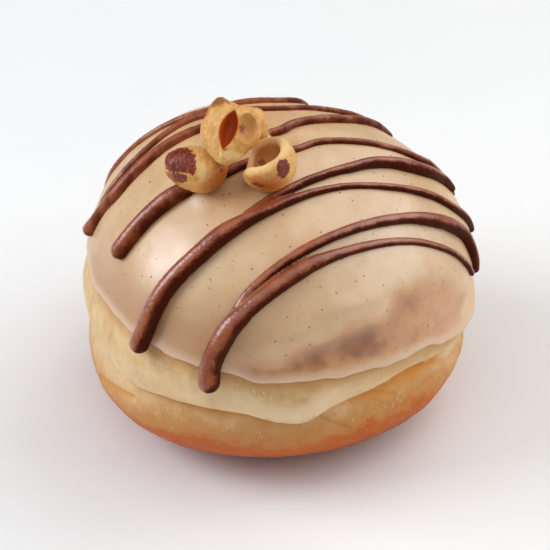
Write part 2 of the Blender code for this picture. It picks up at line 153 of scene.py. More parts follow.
def around(azimuth, stations):
    """A value that runs smoothly round the bun through its (azimuth, value) stations."""
    places, values = np.array(stations, float).T
    places = np.concatenate([places[-2:] - 360, places, places[:2] + 360])
    values = np.concatenate([values[-2:], values, values[:2]])
    slopes = np.gradient(values, places)
    turned = (np.asarray(azimuth, float) - places[1]) % 360 + places[1]
    index = np.clip(np.searchsorted(places, turned, side="right") - 1, 0, len(places) - 2)
    span = places[index + 1] - places[index]
    t = (turned - places[index]) / span
    return ((1 + 2 * t) * (1 - t) ** 2 * values[index] + t * t * (3 - 2 * t) * values[index + 1]
            + span * t * (1 - t) * ((1 - t) * slopes[index] - t * slopes[index + 1]))


def waver(azimuth, swellings):
    """How much the bun's radius is swollen at an azimuth, as a factor."""
    factor = np.ones_like(azimuth)
    for times, part, towards in swellings:
        factor = factor + part * np.cos(np.radians(times * (azimuth - towards)))
    return factor


# %% The bun without its crease
def smooth_radius(azimuth, rise):
    """Distance from the bun's middle to its skin, before the crease is pressed in."""
    up = np.radians(rise)
    to_upper = ease((rise - LOBE_TOP_RISE) / LOBE_BLEND + 1)
    lower = LOWER_RADIUS * waver(azimuth, LOWER_WAVER)
    upper = UPPER_RADIUS * waver(azimuth, UPPER_WAVER)
    across = lower + (upper - lower) * to_upper
    above = CROWN_RISE * (1 - CROWN_LEAN * np.cos(np.radians(azimuth)))
    height = np.where(rise > 0, above, UNDERSIDE_DROP)
    power = np.where(rise > 0, UPPER_FULLNESS, LOWER_FULLNESS)
    bulk = (np.cos(up) / across) ** power + (np.abs(np.sin(up)) / height) ** power
    rounded = bulk ** (-1 / power)
    to_base = WIDE_HEIGHT / np.maximum(-np.sin(up), LEAST_DIVISOR)
    return np.minimum(rounded, to_base)


# %% [markdown]
# ## The crease and the band
#
# Where the two fried halves meet, the dough folds in. The pale band above swells out and its lip
# hangs over the fold, so the fold reads as one dark line that wanders up and down. Its height,
# its depth and the band's swelling are each given at a few places round the bun and run smoothly
# between them. Smaller folds are short dents along a line from one place to another.

# %% Sizes of the crease, the band and the folds
# Stations round the bun: azimuths in degrees, and values in mm
CREASE_HEIGHTS = ((-147, 23.6), (-131, 25.3), (-112, 26.8), (-97, 25.7), (-81, 21.9), (-72, 24.6),
                  (-60, 25.8), (-45, 26.6), (-29, 24.0), (-14, 22.8), (35, 22.5), (90, 23.5),
                  (150, 22.5))
CREASE_DEPTHS = ((-155, 0.6), (-125, 2.2), (-100, 1.9), (-84, 1.7), (-70, 1.5), (-50, 3.0),
                 (-31, 1.7), (-14, 1.8), (40, 2.0), (100, 1.8), (160, 1.5))
# How far below the crease its painted amber shade reaches, in mm
CREASE_SHADE_REACHES = ((-150, 1.4), (-120, 2.2), (-100, 2.4), (-80, 1.4), (-70, 1.8), (-64, 3.2),
                (-54, 4.4), (-40, 5.0), (-31, 3.0), (-24, 1.0), (0, 1.0), (60, 2.0), (150, 1.6))
BAND_SWELLS = ((-165, 1.6), (-130, 1.2), (-90, 0.7), (-40, 0.7), (-10, 1.0), (60, 0.7),
               (130, 0.8))
BAND_REACH = 5.5 * MM
CREASE_ABOVE = 0.8 * MM
CREASE_BELOW = 3.6 * MM
LIP_HANG = 0.5
LIP_START = 0.6 * MM
LIP_REACH = 2.4 * MM
# Broad dents: azimuth and half length in degrees, height, reach and depth in mm
DENTS = ((-20, 18, 18.2, 1.5, 1.6), (-8, 26, 29.0, 4.5, 1.5))
# Small folds: azimuth and height in mm of both ends, half width and depth in mm
FOLDS = ((-156, 14.6, -133, 20.4, 0.7, 0.7), (-75, 21.6, -66, 16.6, 0.5, 0.6),
         (-38, 24.6, -27, 19.6, 0.5, 0.4), (-32, 22.6, -22, 18.6, 0.4, 0.3),
         (-60, 24.2, -50, 20.6, 0.6, 0.4), (60, 17.0, 84, 21.0, 0.7, 0.6),
         (128, 21.0, 150, 16.5, 0.7, 0.6))


# %% Where the crease and the icing's edge run
ICING_EDGE_HEIGHTS = ((-163, 38.9), (-143, 39.2), (-124, 38.0), (-103, 36.1), (-88, 33.9),
                      (-72, 33.2), (-54, 31.6), (-43, 31.0), (-33, 29.0), (-21, 26.4), (15, 27.0),
                      (60, 31.0), (110, 35.5), (160, 39.0))


def rise_of(height_mm):
    """The rise, in degrees, at which the bun's side reaches a height."""
    return np.degrees(np.arcsin((height_mm * MM - WIDE_HEIGHT) / UPPER_RADIUS))


def crease_rise(azimuth):
    return rise_of(around(azimuth, CREASE_HEIGHTS))


def icing_rise(azimuth):
    return rise_of(around(azimuth, ICING_EDGE_HEIGHTS))


def fold_depth(azimuth, rise):
    """How deep the small folds press in, in metres."""
    azimuth, rise = np.broadcast_arrays(azimuth, rise)
    along = side_length(azimuth) / MM
    height = (WIDE_HEIGHT + UPPER_RADIUS * np.sin(np.radians(rise))) / MM
    depth = np.zeros_like(height)
    for azimuth_a, height_a, azimuth_b, height_b, half_width, fold in FOLDS:
        start = np.array([side_length(azimuth_a) / MM, height_a])
        run = np.array([side_length(azimuth_b) / MM, height_b]) - start
        off = np.stack([along - start[0], height - start[1]], -1)
        part = np.clip(off @ run / (run @ run), 0, 1)
        away = np.linalg.norm(off - part[..., None] * run, axis=-1)
        depth = depth + fold * MM * np.exp(-(away / half_width) ** 2)
    return depth


# %% The bun's whole skin
def polar(azimuth, rise, radius):
    """The point at a distance from the bun's middle, in a direction."""
    turn, up = np.radians(azimuth), np.radians(rise)
    return np.stack([radius * np.cos(up) * np.cos(turn), radius * np.cos(up) * np.sin(turn),
                     WIDE_HEIGHT + radius * np.sin(up)], -1)


def dough_point(azimuth, rise):
    """The bun's skin: smooth body, swollen band, crease under the band's lip, and folds."""
    azimuth, rise = np.broadcast_arrays(azimuth, rise)
    above_crease = side_length(rise - crease_rise(azimuth))
    reach = np.where(above_crease > 0, CREASE_ABOVE, CREASE_BELOW)
    depth = around(azimuth, CREASE_DEPTHS) * MM
    pressed = depth * np.exp(-(above_crease / reach) ** 2) + fold_depth(azimuth, rise)
    for towards, half_length, height, reach, dent in DENTS:
        off = side_length(rise - rise_of(height)) / (reach * MM)
        along = (azimuth - towards) / half_length
        pressed = pressed + dent * MM * np.exp(-off ** 2 - along ** 2)
    middle = (icing_rise(azimuth) + crease_rise(azimuth)) / 2
    from_middle = side_length(rise - middle)
    swell = around(azimuth, BAND_SWELLS) * MM * np.exp(-(from_middle / BAND_REACH) ** 2)
    radius = smooth_radius(azimuth, rise) + swell - pressed
    hang = LIP_HANG * depth * ease(above_crease / LIP_START) * ease(2 - above_crease / LIP_REACH)
    return polar(azimuth, rise, radius) - np.stack([0 * hang, 0 * hang, hang], -1)


def over_dough(azimuth, rise, distance):
    """A point at a distance outside the bun's skin, above the crease."""
    skin = dough_point(azimuth, rise)
    outwards = unit(skin - np.array([0, 0, WIDE_HEIGHT]))
    return skin + outwards * np.asarray(distance)[..., None]


# %% [markdown]
# ## From rings of points to a closed skin
#
# Every round piece here is skinned over rings of points, from one pole to the other, as a lathe
# would do it. The first and the last ring each close on a single point, so there is no hole at a
# pole. Values that a finish needs later, such as how browned a place is, are stored on the points
# as attributes.

# %% Skin rings
def ring_piece(name, rings, values=None):
    """A closed piece over rings whose first and last rings are single points."""
    rings = np.asarray(rings, float)
    rows, count = rings.shape[:2]
    points = np.concatenate([rings[0, :1], rings[1:-1].reshape(-1, 3), rings[-1, :1]])
    after = (np.arange(count) + 1) % count
    first = 1 + np.arange(count)
    last = first + (rows - 3) * count
    faces = [(0, 1 + after[k], first[k]) for k in range(count)]
    faces += [(len(points) - 1, last[k], last[0] + after[k]) for k in range(count)]
    for row in range(rows - 3):
        low = 1 + row * count
        high = low + count
        faces += [(low + k, low + after[k], high + after[k], high + k) for k in range(count)]
    mesh = bpy.data.meshes.new(name)
    mesh.from_pydata(points.tolist(), [], [tuple(map(int, face)) for face in faces])
    for label, grid in (values or {}).items():
        flat = np.concatenate([grid[0, :1], grid[1:-1].reshape(-1), grid[-1, :1]])
        mesh.attributes.new(label, "FLOAT", "POINT").data.foreach_set("value", flat)
    solid = bmesh.new()
    solid.from_mesh(mesh)
    if solid.calc_volume(signed=True) < 0:
        bmesh.ops.reverse_faces(solid, faces=solid.faces[:])
    solid.to_mesh(mesh)
    solid.free()
    mesh.shade_smooth()
    return add_object(name, mesh)


# %% [markdown]
# ## Uneven skins with Geometry Nodes
#
# Dough, icing, chocolate and nuts are all a little uneven, each at its own scale. One node tree
# serves them all: it moves every point along its normal by two noises, a broad one and a fine one.
# Its sizes are inputs, so each piece gets its own, and the seed is fixed so that each run gives
# the same doughnut. A stretch makes the noise longer one way, as the wrinkles of a nut are. A value
# named free, stored on the points, holds back the places that have to stay where they are.

# %% Helpers for node trees
SOCKET_KINDS = {float: "NodeSocketFloat", int: "NodeSocketInt", tuple: "NodeSocketVector"}


def plug(tree, socket, value):
    """Link a value that another node gives, or set a plain one."""
    if isinstance(value, bpy.types.NodeSocket):
        tree.links.new(value, socket)
    else:
        socket.default_value = value


def add_node(tree, kind, settings=None, **inputs):
    """Add a node, set its properties, and set or link its inputs by name."""
    node = tree.nodes.new(kind)
    for key, value in (settings or {}).items():
        setattr(node, key, value)
    for key, value in inputs.items():
        name = key.replace("_", " ").lower()
        plug(tree, next(s for s in node.inputs if s.enabled and s.name.lower() == name), value)
    return node


def math_node(tree, operation, *values):
    """A Math node, with values or links for its inputs in order."""
    node = add_node(tree, "ShaderNodeMath", {"operation": operation})
    for socket, value in zip(node.inputs, values):
        plug(tree, socket, value)
    return node.outputs[0]


def vector_node(tree, operation, vector, other):
    """A Vector Math node: MULTIPLY by another vector, or SCALE by a number."""
    node = add_node(tree, "ShaderNodeVectorMath", {"operation": operation})
    plug(tree, node.inputs[0], vector)
    plug(tree, node.inputs["Scale" if operation == "SCALE" else 1], other)
    return node.outputs[0]


def noise_node(tree, place, size, detail, seed=None, roughness=0.5):
    """A noise around 0.5 that changes over about a size, in four dimensions if it has a seed."""
    seeded = {} if seed is None else {"W": seed}
    node = add_node(tree, "ShaderNodeTexNoise", {"noise_dimensions": "4D" if seeded else "3D"},
                    Vector=place, Scale=math_node(tree, "DIVIDE", 1.0, size), Detail=detail,
                    Roughness=roughness, **seeded)
    return node.outputs["Fac"]


def span_node(tree, value, low, high, to_low=0.0, to_high=1.0, kind="SMOOTHSTEP"):
    """A value mapped from one range to another."""
    return add_node(tree, "ShaderNodeMapRange", {"interpolation_type": kind}, Value=value,
                    From_Min=low, From_Max=high, To_Min=to_low, To_Max=to_high).outputs[0]


def new_tree(name, result, numbers):
    """A node group with one result. Its inputs are numbers, given with what they start at.

    If the result is Geometry, a mesh and its material go in too; if not, it is a shader group.
    """
    shapes = result == "Geometry"
    tree = bpy.data.node_groups.new(name, "GeometryNodeTree" if shapes else "ShaderNodeTree")
    for label in ("Geometry", "Material") if shapes else ():
        tree.interface.new_socket(label, in_out="INPUT", socket_type="NodeSocket" + label)
    for label, value in numbers.items():
        tree.interface.new_socket(label, in_out="INPUT",
                                  socket_type=SOCKET_KINDS[type(value)]).default_value = value
    tree.interface.new_socket(result, in_out="OUTPUT",
                              socket_type="NodeSocket" + ("Geometry" if shapes else "Float"))
    return tree, tree.nodes.new("NodeGroupInput").outputs, tree.nodes.new("NodeGroupOutput").inputs


# %% Helpers for geometry trees
def position(tree):
    return add_node(tree, "GeometryNodeInputPosition").outputs[0]


def stored_value(tree, label):
    return add_node(tree, "GeometryNodeInputNamedAttribute", {"data_type": "FLOAT"},
                    Name=label).outputs["Attribute"]


def noise_push(tree, place, size, depth, seed):
    """A value from minus to plus the depth, that changes over about the size."""
    centred = math_node(tree, "SUBTRACT", noise_node(tree, place, size, 2.0, seed), 0.5)
    return math_node(tree, "MULTIPLY", centred, math_node(tree, "MULTIPLY", depth, 2.0))


def push_out(tree, geometry, distance):
    """Move the points along their normals."""
    normal = add_node(tree, "GeometryNodeInputNormal").outputs[0]
    return add_node(tree, "GeometryNodeSetPosition", Geometry=geometry,
                    Offset=vector_node(tree, "SCALE", normal, distance)).outputs[0]


def end_tree(tree, geometry, given, result):
    """Make instances real, put the material on, and give the geometry out."""
    real = add_node(tree, "GeometryNodeRealizeInstances", Geometry=geometry)
    dressed = add_node(tree, "GeometryNodeSetMaterial", Geometry=real.outputs[0],
                       Material=given["Material"])
    tree.links.new(dressed.outputs[0], result["Geometry"])
    return tree


# %% The tree that makes a skin uneven
def build_uneven_tree():
    tree, given, result = new_tree("uneven skin", "Geometry", {
        "Broad Size": 10 * MM, "Broad Depth": 0.5 * MM, "Fine Size": 1 * MM,
        "Fine Depth": 0.05 * MM, "Stretch": (1, 1, 1), "Seed": 1.0})
    place = position(tree)
    stretched = vector_node(tree, "MULTIPLY", place, given["Stretch"])
    broad = noise_push(tree, place, given["Broad Size"], given["Broad Depth"], given["Seed"])
    fine = noise_push(tree, stretched, given["Fine Size"], given["Fine Depth"], given["Seed"])
    push = math_node(tree, "MULTIPLY", math_node(tree, "ADD", broad, fine),
                     stored_value(tree, "free"))
    return end_tree(tree, push_out(tree, given["Geometry"], push), given, result)


UNEVEN_SKIN = build_uneven_tree()
print("uneven skin tree:", len(UNEVEN_SKIN.nodes), "nodes")


# %% Run a tree on a piece and keep the mesh it makes
def run_tree(piece, tree, **inputs):
    """Set the tree's inputs by the identifiers of their sockets, and return a plain mesh piece."""
    modifier = piece.modifiers.new(tree.name, "NODES")
    modifier.node_group = tree
    for key, value in inputs.items():
        name = key.replace("_", " ")
        socket = next(item for item in tree.interface.items_tree
                      if item.in_out == "INPUT" and item.name == name)
        modifier[socket.identifier] = value
    return settle(piece)


def settle(piece):
    """Make a plain mesh of what the modifiers show, under the same name."""
    evaluated = piece.evaluated_get(bpy.context.evaluated_depsgraph_get())
    mesh = bpy.data.meshes.new_from_object(evaluated)
    name = piece.name
    bpy.data.objects.remove(piece)
    mesh.name = name
    print(name, "has", sum(len(face.vertices) - 2 for face in mesh.polygons), "triangles")
    return add_object(name, mesh)


def mark(piece, label, values):
    """Store one value for each point of a piece."""
    mesh = piece.data
    layer = mesh.attributes.get(label) or mesh.attributes.new(label, "FLOAT", "POINT")
    layer.data.foreach_set("value", np.asarray(values, float).ravel())


def points_of(piece):
    """The piece's points, one row each."""
    flat = np.empty(len(piece.data.vertices) * 3)
    piece.data.vertices.foreach_get("co", flat)
    return flat.reshape(-1, 3)


# %% [markdown]
# ## Finishes that share their parts
#
# Each finish below is a Principled shader fed by masks. The masks come from three shader groups
# that are built once: clouds (soft patches of another shade), specks (small sparse dots), and a
# skin relief for bump. A group gives out values only, and the shader stays in the material.

# %% Shader groups
def shader_group(name, build, numbers):
    """A shader group that gives one value, built from the place on the object."""
    tree, given, result = new_tree(name, "Amount", numbers)
    place = add_node(tree, "ShaderNodeTexCoord").outputs["Object"]
    tree.links.new(build(tree, place, given), result["Amount"])
    return tree


def build_clouds(tree, place, given):
    noise = noise_node(tree, place, given["Size"], 3.0, given["Seed"], 0.55)
    return span_node(tree, noise, given["Low"], given["High"])


def build_specks(tree, place, given):
    cells = add_node(tree, "ShaderNodeTexVoronoi", Vector=place,
                     Scale=math_node(tree, "DIVIDE", 1.0, given["Spacing"]))
    own_size = math_node(tree, "MULTIPLY", cells.outputs["Color"], given["Radius"])
    reach = math_node(tree, "DIVIDE", own_size, given["Spacing"])
    return span_node(tree, math_node(tree, "DIVIDE", cells.outputs["Distance"], reach), 1.2, 0.5)


def build_relief(tree, place, given):
    broad = noise_node(tree, place, given["Broad Size"], 3.0)
    fine = noise_node(tree, place, given["Fine Size"], 2.0)
    return math_node(tree, "ADD", broad, math_node(tree, "MULTIPLY", fine, given["Fine Share"]))


CLOUDS = shader_group("clouds", build_clouds,
                      {"Size": 5 * MM, "Low": 0.4, "High": 0.6, "Seed": 0.0})
SPECKS = shader_group("specks", build_specks, {"Spacing": 3 * MM, "Radius": 0.3 * MM})
RELIEF = shader_group("skin relief", build_relief,
                      {"Broad Size": 3 * MM, "Fine Size": 1 * MM, "Fine Share": 0.4})
print("shader groups:", CLOUDS.name, SPECKS.name, RELIEF.name)


# %% Helpers for finishes
def shade(red, green, blue):
    """A colour picked on screen, from 0 to 255, as the linear colour that a shader takes."""
    part = np.array([red, green, blue]) / 255
    linear = np.where(part <= 0.04045, part / 12.92, ((part + 0.055) / 1.055) ** 2.4)
    return (*linear.tolist(), 1.0)


class Finish:
    """A material under construction: a Principled shader and a few ways to feed it."""

    def __init__(self, name, **constants):
        self.material = bpy.data.materials.new(name)
        self.material.use_nodes = True
        self.tree = self.material.node_tree
        self.shader = self.tree.nodes["Principled BSDF"]
        for key, value in constants.items():
            self.shader.inputs[key.replace("_", " ")].default_value = value

    def group(self, group, **inputs):
        """The output of a shader group with its own input values."""
        return add_node(self.tree, "ShaderNodeGroup", {"node_tree": group}, **inputs).outputs[0]

    def stored(self, label):
        """A value stored on the piece's points."""
        return add_node(self.tree, "ShaderNodeAttribute",
                        {"attribute_name": label}).outputs["Fac"]

    def times(self, value, other):
        return math_node(self.tree, "MULTIPLY", value, other)

    def broken(self, value, noise, share):
        """A value with its bounds broken up by a noise from 0 to 1."""
        centred = math_node(self.tree, "SUBTRACT", noise, 0.5)
        return math_node(self.tree, "MULTIPLY_ADD", centred, share, value)

    def span(self, value, *ranges):
        """A value mapped smoothly from one range to another."""
        return span_node(self.tree, value, *ranges)

    def layers(self, colour, *layers):
        """A colour with other ones laid over it, each by its own amount from 0 to 1."""
        for amount, over in layers:
            node = add_node(self.tree, "ShaderNodeMix", {"data_type": "RGBA"})
            for index, value in ((0, amount), (6, colour), (7, over)):
                plug(self.tree, node.inputs[index], value)
            colour = node.outputs[2]
        return colour

    def feed(self, socket, value):
        self.tree.links.new(value, self.shader.inputs[socket])

    def bump(self, height, distance):
        """Let a height between about 0 and 1 stand out by a distance."""
        node = add_node(self.tree, "ShaderNodeBump", Height=height, Distance=distance,
                        Strength=1.0)
        self.feed("Normal", node.outputs[0])


# %% [markdown]
# ## The fried dough
#
# The pale band is yellowish and almost matt. The lower lobe is tan near the crease and browns to
# orange-brown towards the underside, where it lay in the fat; its darkest brown near the floor is
# partly painted shade. In the crease and the folds the dough is painted amber, as painted shade
# with warm light bounced in it. The band's hanging lip is its palest part, and the strip just under
# the icing is browner, as a painted shadow of the icing's edge. Small pale specks on the crust are
# painted glints. The height where the browning starts is given round the bun, and each point
# stores how far it lies below that line, so the finish can blur and break it up.

# %% The dough's skin
BROWN_HEIGHTS = ((-165, 12.5), (-152, 12.5), (-133, 14.6), (-116, 18.0), (-98, 17.4),
                 (-84, 16.3), (-60, 17.5), (-45, 17.2), (-36, 16.2), (-27, 14.0), (-18, 12.0),
                 (-5, 12.4), (30, 14.5), (90, 16.5), (160, 14.5))
# How much paler the band's hanging lip is round the bun
LIP_PALE = ((-170, 0.3), (-130, 0.2), (-105, 0.4), (-92, 0.8), (-80, 0.8), (-60, 0.4), (-35, 0.4),
            (-15, 0.7), (30, 0.5), (120, 0.4))
DOUGH_COLUMNS = 440
BASE_RISE = -57.0
CREASE_SPAN = (-6.2 * MM, 2.2 * MM)
BASE_ROWS = 10
LOBE_ROWS = 52
CREASE_ROWS = 36
BAND_ROWS = 46
HIDDEN_ROWS = 8
HIDDEN_START = side_angle(0.7 * MM)
# The crease's painted amber shade: how far it reaches above, in mm, and how it grows with the
# crease's depth
CREASE_SHADE_ABOVE = 0.6
CREASE_SHADE_FULL_DEPTH = 1.8
CREASE_SHADE_PARTS = (0.2, 1.3)
# Where the skin turns uneven, and over what length, in mm: above the floor, and below the icing
UNEVEN_ABOVE_FLOOR = (0.4, 2.0)
UNEVEN_BELOW_ICING = (-0.5, 3.0)
# Over what length in mm the pale lip fades out, and how many such lengths above the crease it ends
LIP_PALE_FADE = 4.0
LIP_PALE_END = 1.8


def between(low, high, rows):
    """Rows from one rise up to, but not on, another, for every column."""
    return [low + (high - low) * k / rows for k in range(rows)]


def dough_rises(azimuth):
    """The rows of the dough's skin, close together where it shows."""
    crease = crease_rise(azimuth)
    low, high = (crease + side_angle(length) for length in CREASE_SPAN)
    hidden = icing_rise(azimuth) + HIDDEN_START
    rows = between(0 * azimuth - POLE, 0 * azimuth + BASE_RISE, BASE_ROWS)
    rows += between(0 * azimuth + BASE_RISE, low, LOBE_ROWS)
    rows += between(low, high, CREASE_ROWS)
    rows += between(high, hidden, BAND_ROWS)
    rows += between(hidden, 0 * azimuth + POLE, HIDDEN_ROWS)
    return np.array(rows + [0 * azimuth + POLE])


def make_dough(material):
    azimuth = steps_round(DOUGH_COLUMNS, -180)
    rise = dough_rises(azimuth)
    points = dough_point(azimuth, rise)
    height = points[..., 2] / MM
    above_crease = side_length(rise - crease_rise(azimuth)) / MM
    # The crease's painted shade: strongest in the crease and in the small folds
    shade_reach = np.where(above_crease > 0, CREASE_SHADE_ABOVE, around(azimuth, CREASE_SHADE_REACHES))
    crease_shade = np.exp(-(above_crease / shade_reach) ** 2)
    crease_shade *= np.clip(around(azimuth, CREASE_DEPTHS) / CREASE_SHADE_FULL_DEPTH, *CREASE_SHADE_PARTS)
    below_icing = side_length(icing_rise(azimuth) - rise) / MM
    shown = (ease((height - UNEVEN_ABOVE_FLOOR[0]) / UNEVEN_ABOVE_FLOOR[1])
             * ease((below_icing - UNEVEN_BELOW_ICING[0]) / UNEVEN_BELOW_ICING[1]))
    lip = ease(above_crease) * ease(LIP_PALE_END - above_crease / LIP_PALE_FADE)
    values = {
        "below_brown": around(azimuth, BROWN_HEIGHTS) - height,
        "crease_shade": crease_shade + fold_depth(azimuth, rise) / MM,
        "below_icing": below_icing,
        "lip": around(azimuth, LIP_PALE) * lip,
        "free": shown * (1 - 0.5 * np.clip(crease_shade, 0, 1)),
    }
    piece = ring_piece("dough_skin", points, values)
    return run_tree(piece, UNEVEN_SKIN, Material=material, Broad_Size=9 * MM,
                    Broad_Depth=0.55 * MM, Fine_Size=1.6 * MM, Fine_Depth=0.12 * MM, Seed=3.0)


# %% The dough's finish
CRUST_PALE = shade(224, 188, 138)
CRUST_PATCHES = shade(204, 162, 108)
CRUST_LIGHT = shade(236, 204, 154)
CRUST_LIP = shade(244, 216, 174)
# Painted shadow of the icing's edge on the band just below it
CRUST_SHADOW_UNDER_ICING = shade(194, 138, 74)
CRUST_TAN = shade(200, 138, 72)
CRUST_BROWN = shade(198, 98, 16)
# The darkest brown towards the floor: real browning and, in part, painted shade
CRUST_DARK_AND_SHADE = shade(172, 72, 8)
# Painted shade in the crease and the folds, an amber
CREASE_PAINTED_SHADE = shade(214, 140, 44)
# Pale specks on the crust, painted glints of its tiny blisters
PAINTED_GLINTS = shade(252, 236, 204)


def dough_finish():
    finish = Finish("fried_dough", Roughness=0.55, Specular_IOR_Level=0.3)
    patches = finish.group(CLOUDS, Size=7 * MM, Low=0.35, High=0.65, Seed=1.0)
    small = finish.group(CLOUDS, Size=3 * MM, Low=0.35, High=0.7, Seed=2.0)
    glint_clumps = finish.group(CLOUDS, Size=6 * MM, Low=0.5, High=0.6, Seed=3.0)
    glint_specks = finish.group(SPECKS, Spacing=0.7 * MM, Radius=0.22 * MM)
    browned = finish.broken(finish.stored("below_brown"), small, 2.4)
    colour = finish.layers(
        CRUST_PALE,
        (patches, CRUST_PATCHES),
        (finish.times(small, 0.5), CRUST_LIGHT),
        (finish.stored("lip"), CRUST_LIP),
        (finish.span(finish.stored("below_icing"), 4.6, 0.4, 0.0, 0.7), CRUST_SHADOW_UNDER_ICING),
        (finish.span(browned, -9.0, -1.5), CRUST_TAN),
        (finish.span(browned, -1.5, 2.6), CRUST_BROWN),
        (finish.span(browned, 3.0, 10.0), CRUST_DARK_AND_SHADE),
        (finish.span(finish.stored("crease_shade"), 0.1, 1.0, 0.0, 0.9), CREASE_PAINTED_SHADE),
        (finish.times(finish.times(glint_specks, glint_clumps), 0.6), PAINTED_GLINTS))
    finish.feed("Base Color", colour)
    relief = finish.group(RELIEF, Broad_Size=2.6 * MM, Fine_Size=0.5 * MM, Fine_Share=0.3)
    finish.bump(relief, 0.3 * MM)
    finish.feed("Roughness", finish.span(relief, 0.4, 1.1, 0.48, 0.66))
    return finish.material


dough = make_dough(dough_finish())
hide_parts("dough")
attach(dough, "root")

# %% [markdown]
# ## The icing
#
# The bun is dipped head first into warm icing and turned back up. The icing settles into a thin
# cap with a soft rounded edge, and it follows every dent of the dough: on the near right side it
# shows a ridge over a hollow. The finish paints the hollow, the dents and the low part, most on the
# near left, browner as painted shade, and the rounded edge and a few places on the ridge and the
# dome paler as painted light. The cap is a shell: rings run down inside it from the crown, round
# its edge, and back up over its outer face.

# %% Sizes of the icing
ICING_THICKNESS = 1.3 * MM
ICING_GAP = 0.3 * MM
ICING_SINK = -0.1 * MM
LIP_BACK = 0.45 * MM
LIP_ROUND = 0.65 * MM
LIP_ROWS = 12
# The swelling of the lip, how far from the edge it lies and its reach, in mm
LIP_SWELL = 0.12
LIP_SWELL_PLACE = 1.0
LIP_SWELL_REACH = 1.2
# Over what length from the edge the lumps and the unevenness grow to full size, in mm
LUMP_START = 4.0
UNEVEN_START = 2.0
# How far from the edge the painted shade of the low part stays full, and over what length it fades,
# in mm
LOW_SHADE_FULL = 3.0
LOW_SHADE_FADE = 14.0
CAP_ROWS = 180
INSIDE_ROWS = 6
# Small waves of the edge: how many round the bun, size in mm, and start in degrees
EDGE_WAVES = ((17, 0.22, 40), (29, 0.12, 110), (47, 0.07, 10))
# How strong the painted shade, a brown, is on the low part of the cap round the bun
LOW_SHADE_PARTS = ((-180, 0.2), (-160, 0.55), (-130, 0.75), (-105, 0.55), (-85, 0.2), (-60, 0.0),
               (0, 0.0), (70, 0.2), (130, 0.3))
# Lumps of the dome: azimuth, rise, half length in degrees, half width in mm, height in mm, slope
LUMPS = ((-80, 23.0, 8, 2.2, 0.5, 0.15), (-66, 27.5, 8, 2.2, 0.6, 0.0),
         (-55, 27.0, 8, 2.4, 0.5, 0.15), (-75, 17.0, 9, 2.4, -0.4, 0.05),
         (-60, 18.0, 8, 2.4, -0.4, 0.0), (-50, 35.0, 16, 4.0, 0.3, 0.15),
         (-118, 22.0, 16, 4.0, -0.2, 0.0), (20, 20.0, 20, 4.0, 0.4, 0.0),
         (95, 24.0, 22, 4.5, 0.5, 0.05), (120, 17.0, 14, 3.0, -0.6, 0.0))
# Places of painted light on the cap, paler patches for highlights and sheen: azimuth, rise, half
# length in degrees, half width in mm, amount, slope
PAINTED_LIGHT_PLACES = ((-128, 56.0, 5, 1.8, 0.7, 0.0), (-36, 35.0, 24, 8.0, 0.35, 0.0),
               (-8, 58.0, 30, 8.0, 0.35, 0.0), (-28, 10.0, 14, 4.0, 0.3, 0.0),
               (-87, 10.5, 12, 1.2, 0.6, -0.12))
# The hollow at the near right: the rises of its upper and lower bounds round the bun, how strong
# it is there, how softly it starts, in degrees, and its depth
HOLLOW_TOPS = ((-112, 6), (-104, 15), (-95, 18), (-88, 18), (-82, 20), (-77, 21), (-73, 21),
               (-67, 24), (-62, 23), (-55, 23), (-51, 26), (-46, 28), (-38, 27), (-30, 25),
               (-23, 19), (-12, 8), (0, 4), (90, 4), (180, 4))
HOLLOW_FEET = ((-104, 10), (-90, 9), (-71, 9.5), (-57, 9), (-46, 6), (-33, 3), (-22, 2),
               (-12, 8), (0, 12), (90, 12), (180, 12))
HOLLOW_PARTS = ((-112, 1.0), (-85, 1.0), (-60, 1.0), (-50, 0.85), (-40, 0.65), (-22, 0.55),
                (0, 0.4), (120, 1.0))
HOLLOW_SOFT = 9.0
# How far past its upper and lower bounds it still shows, as parts of HOLLOW_SOFT
HOLLOW_PAST_TOP = 0.2
HOLLOW_PAST_FOOT = 0.4
HOLLOW_SINK = 0.9 * MM
# Where the icing is pushed up round the nuts: place in mm, height in mm, reach in mm
NUT_SEATS = ((-14.5, -17.2, 64.0, 0.45, 3.2), (-0.6, -18.6, 65.4, 0.8, 3.0),
             (-3.0, -5.8, 67.2, 0.5, 2.2), (-13.6, -18.6, 61.2, 0.5, 2.2))


# %% Lumps, the wavy edge and the seats of the nuts
def lump(azimuth, rise, row):
    """How high one lump is at each place, in mm, or how strong one place of painted light is."""
    towards, middle, half_length, half_width, height, slope = row
    along = (azimuth - towards) / half_length
    line = middle + slope * (azimuth - towards)
    off = side_length(rise - line) / MM / half_width
    return height * np.exp(-along ** 2 - off ** 2)


def wavy_edge(azimuth):
    """The icing's edge with its small waves, as a rise."""
    wave = sum(size * np.sin(np.radians(times * azimuth + start))
               for times, size, start in EDGE_WAVES)
    return icing_rise(azimuth) + side_angle(wave * MM)


def seat_height(points):
    """How far the icing is pushed up round the nuts."""
    height = np.zeros(points.shape[:-1])
    for x, y, z, push, reach in NUT_SEATS:
        away = np.linalg.norm(points - np.array([x, y, z]) * MM, axis=-1) / (reach * MM)
        height = height + push * MM * np.exp(-away ** 2)
    return height


def hollow_amount(azimuth, rise):
    """1 in the hollow at the near right, 0 outside it, and soft at its bounds."""
    below_top = (around(azimuth, HOLLOW_TOPS) - rise) / HOLLOW_SOFT
    above_foot = (rise - around(azimuth, HOLLOW_FEET)) / HOLLOW_SOFT
    inside = ease(below_top + HOLLOW_PAST_TOP) * ease(above_foot + HOLLOW_PAST_FOOT)
    return around(azimuth, HOLLOW_PARTS) * inside


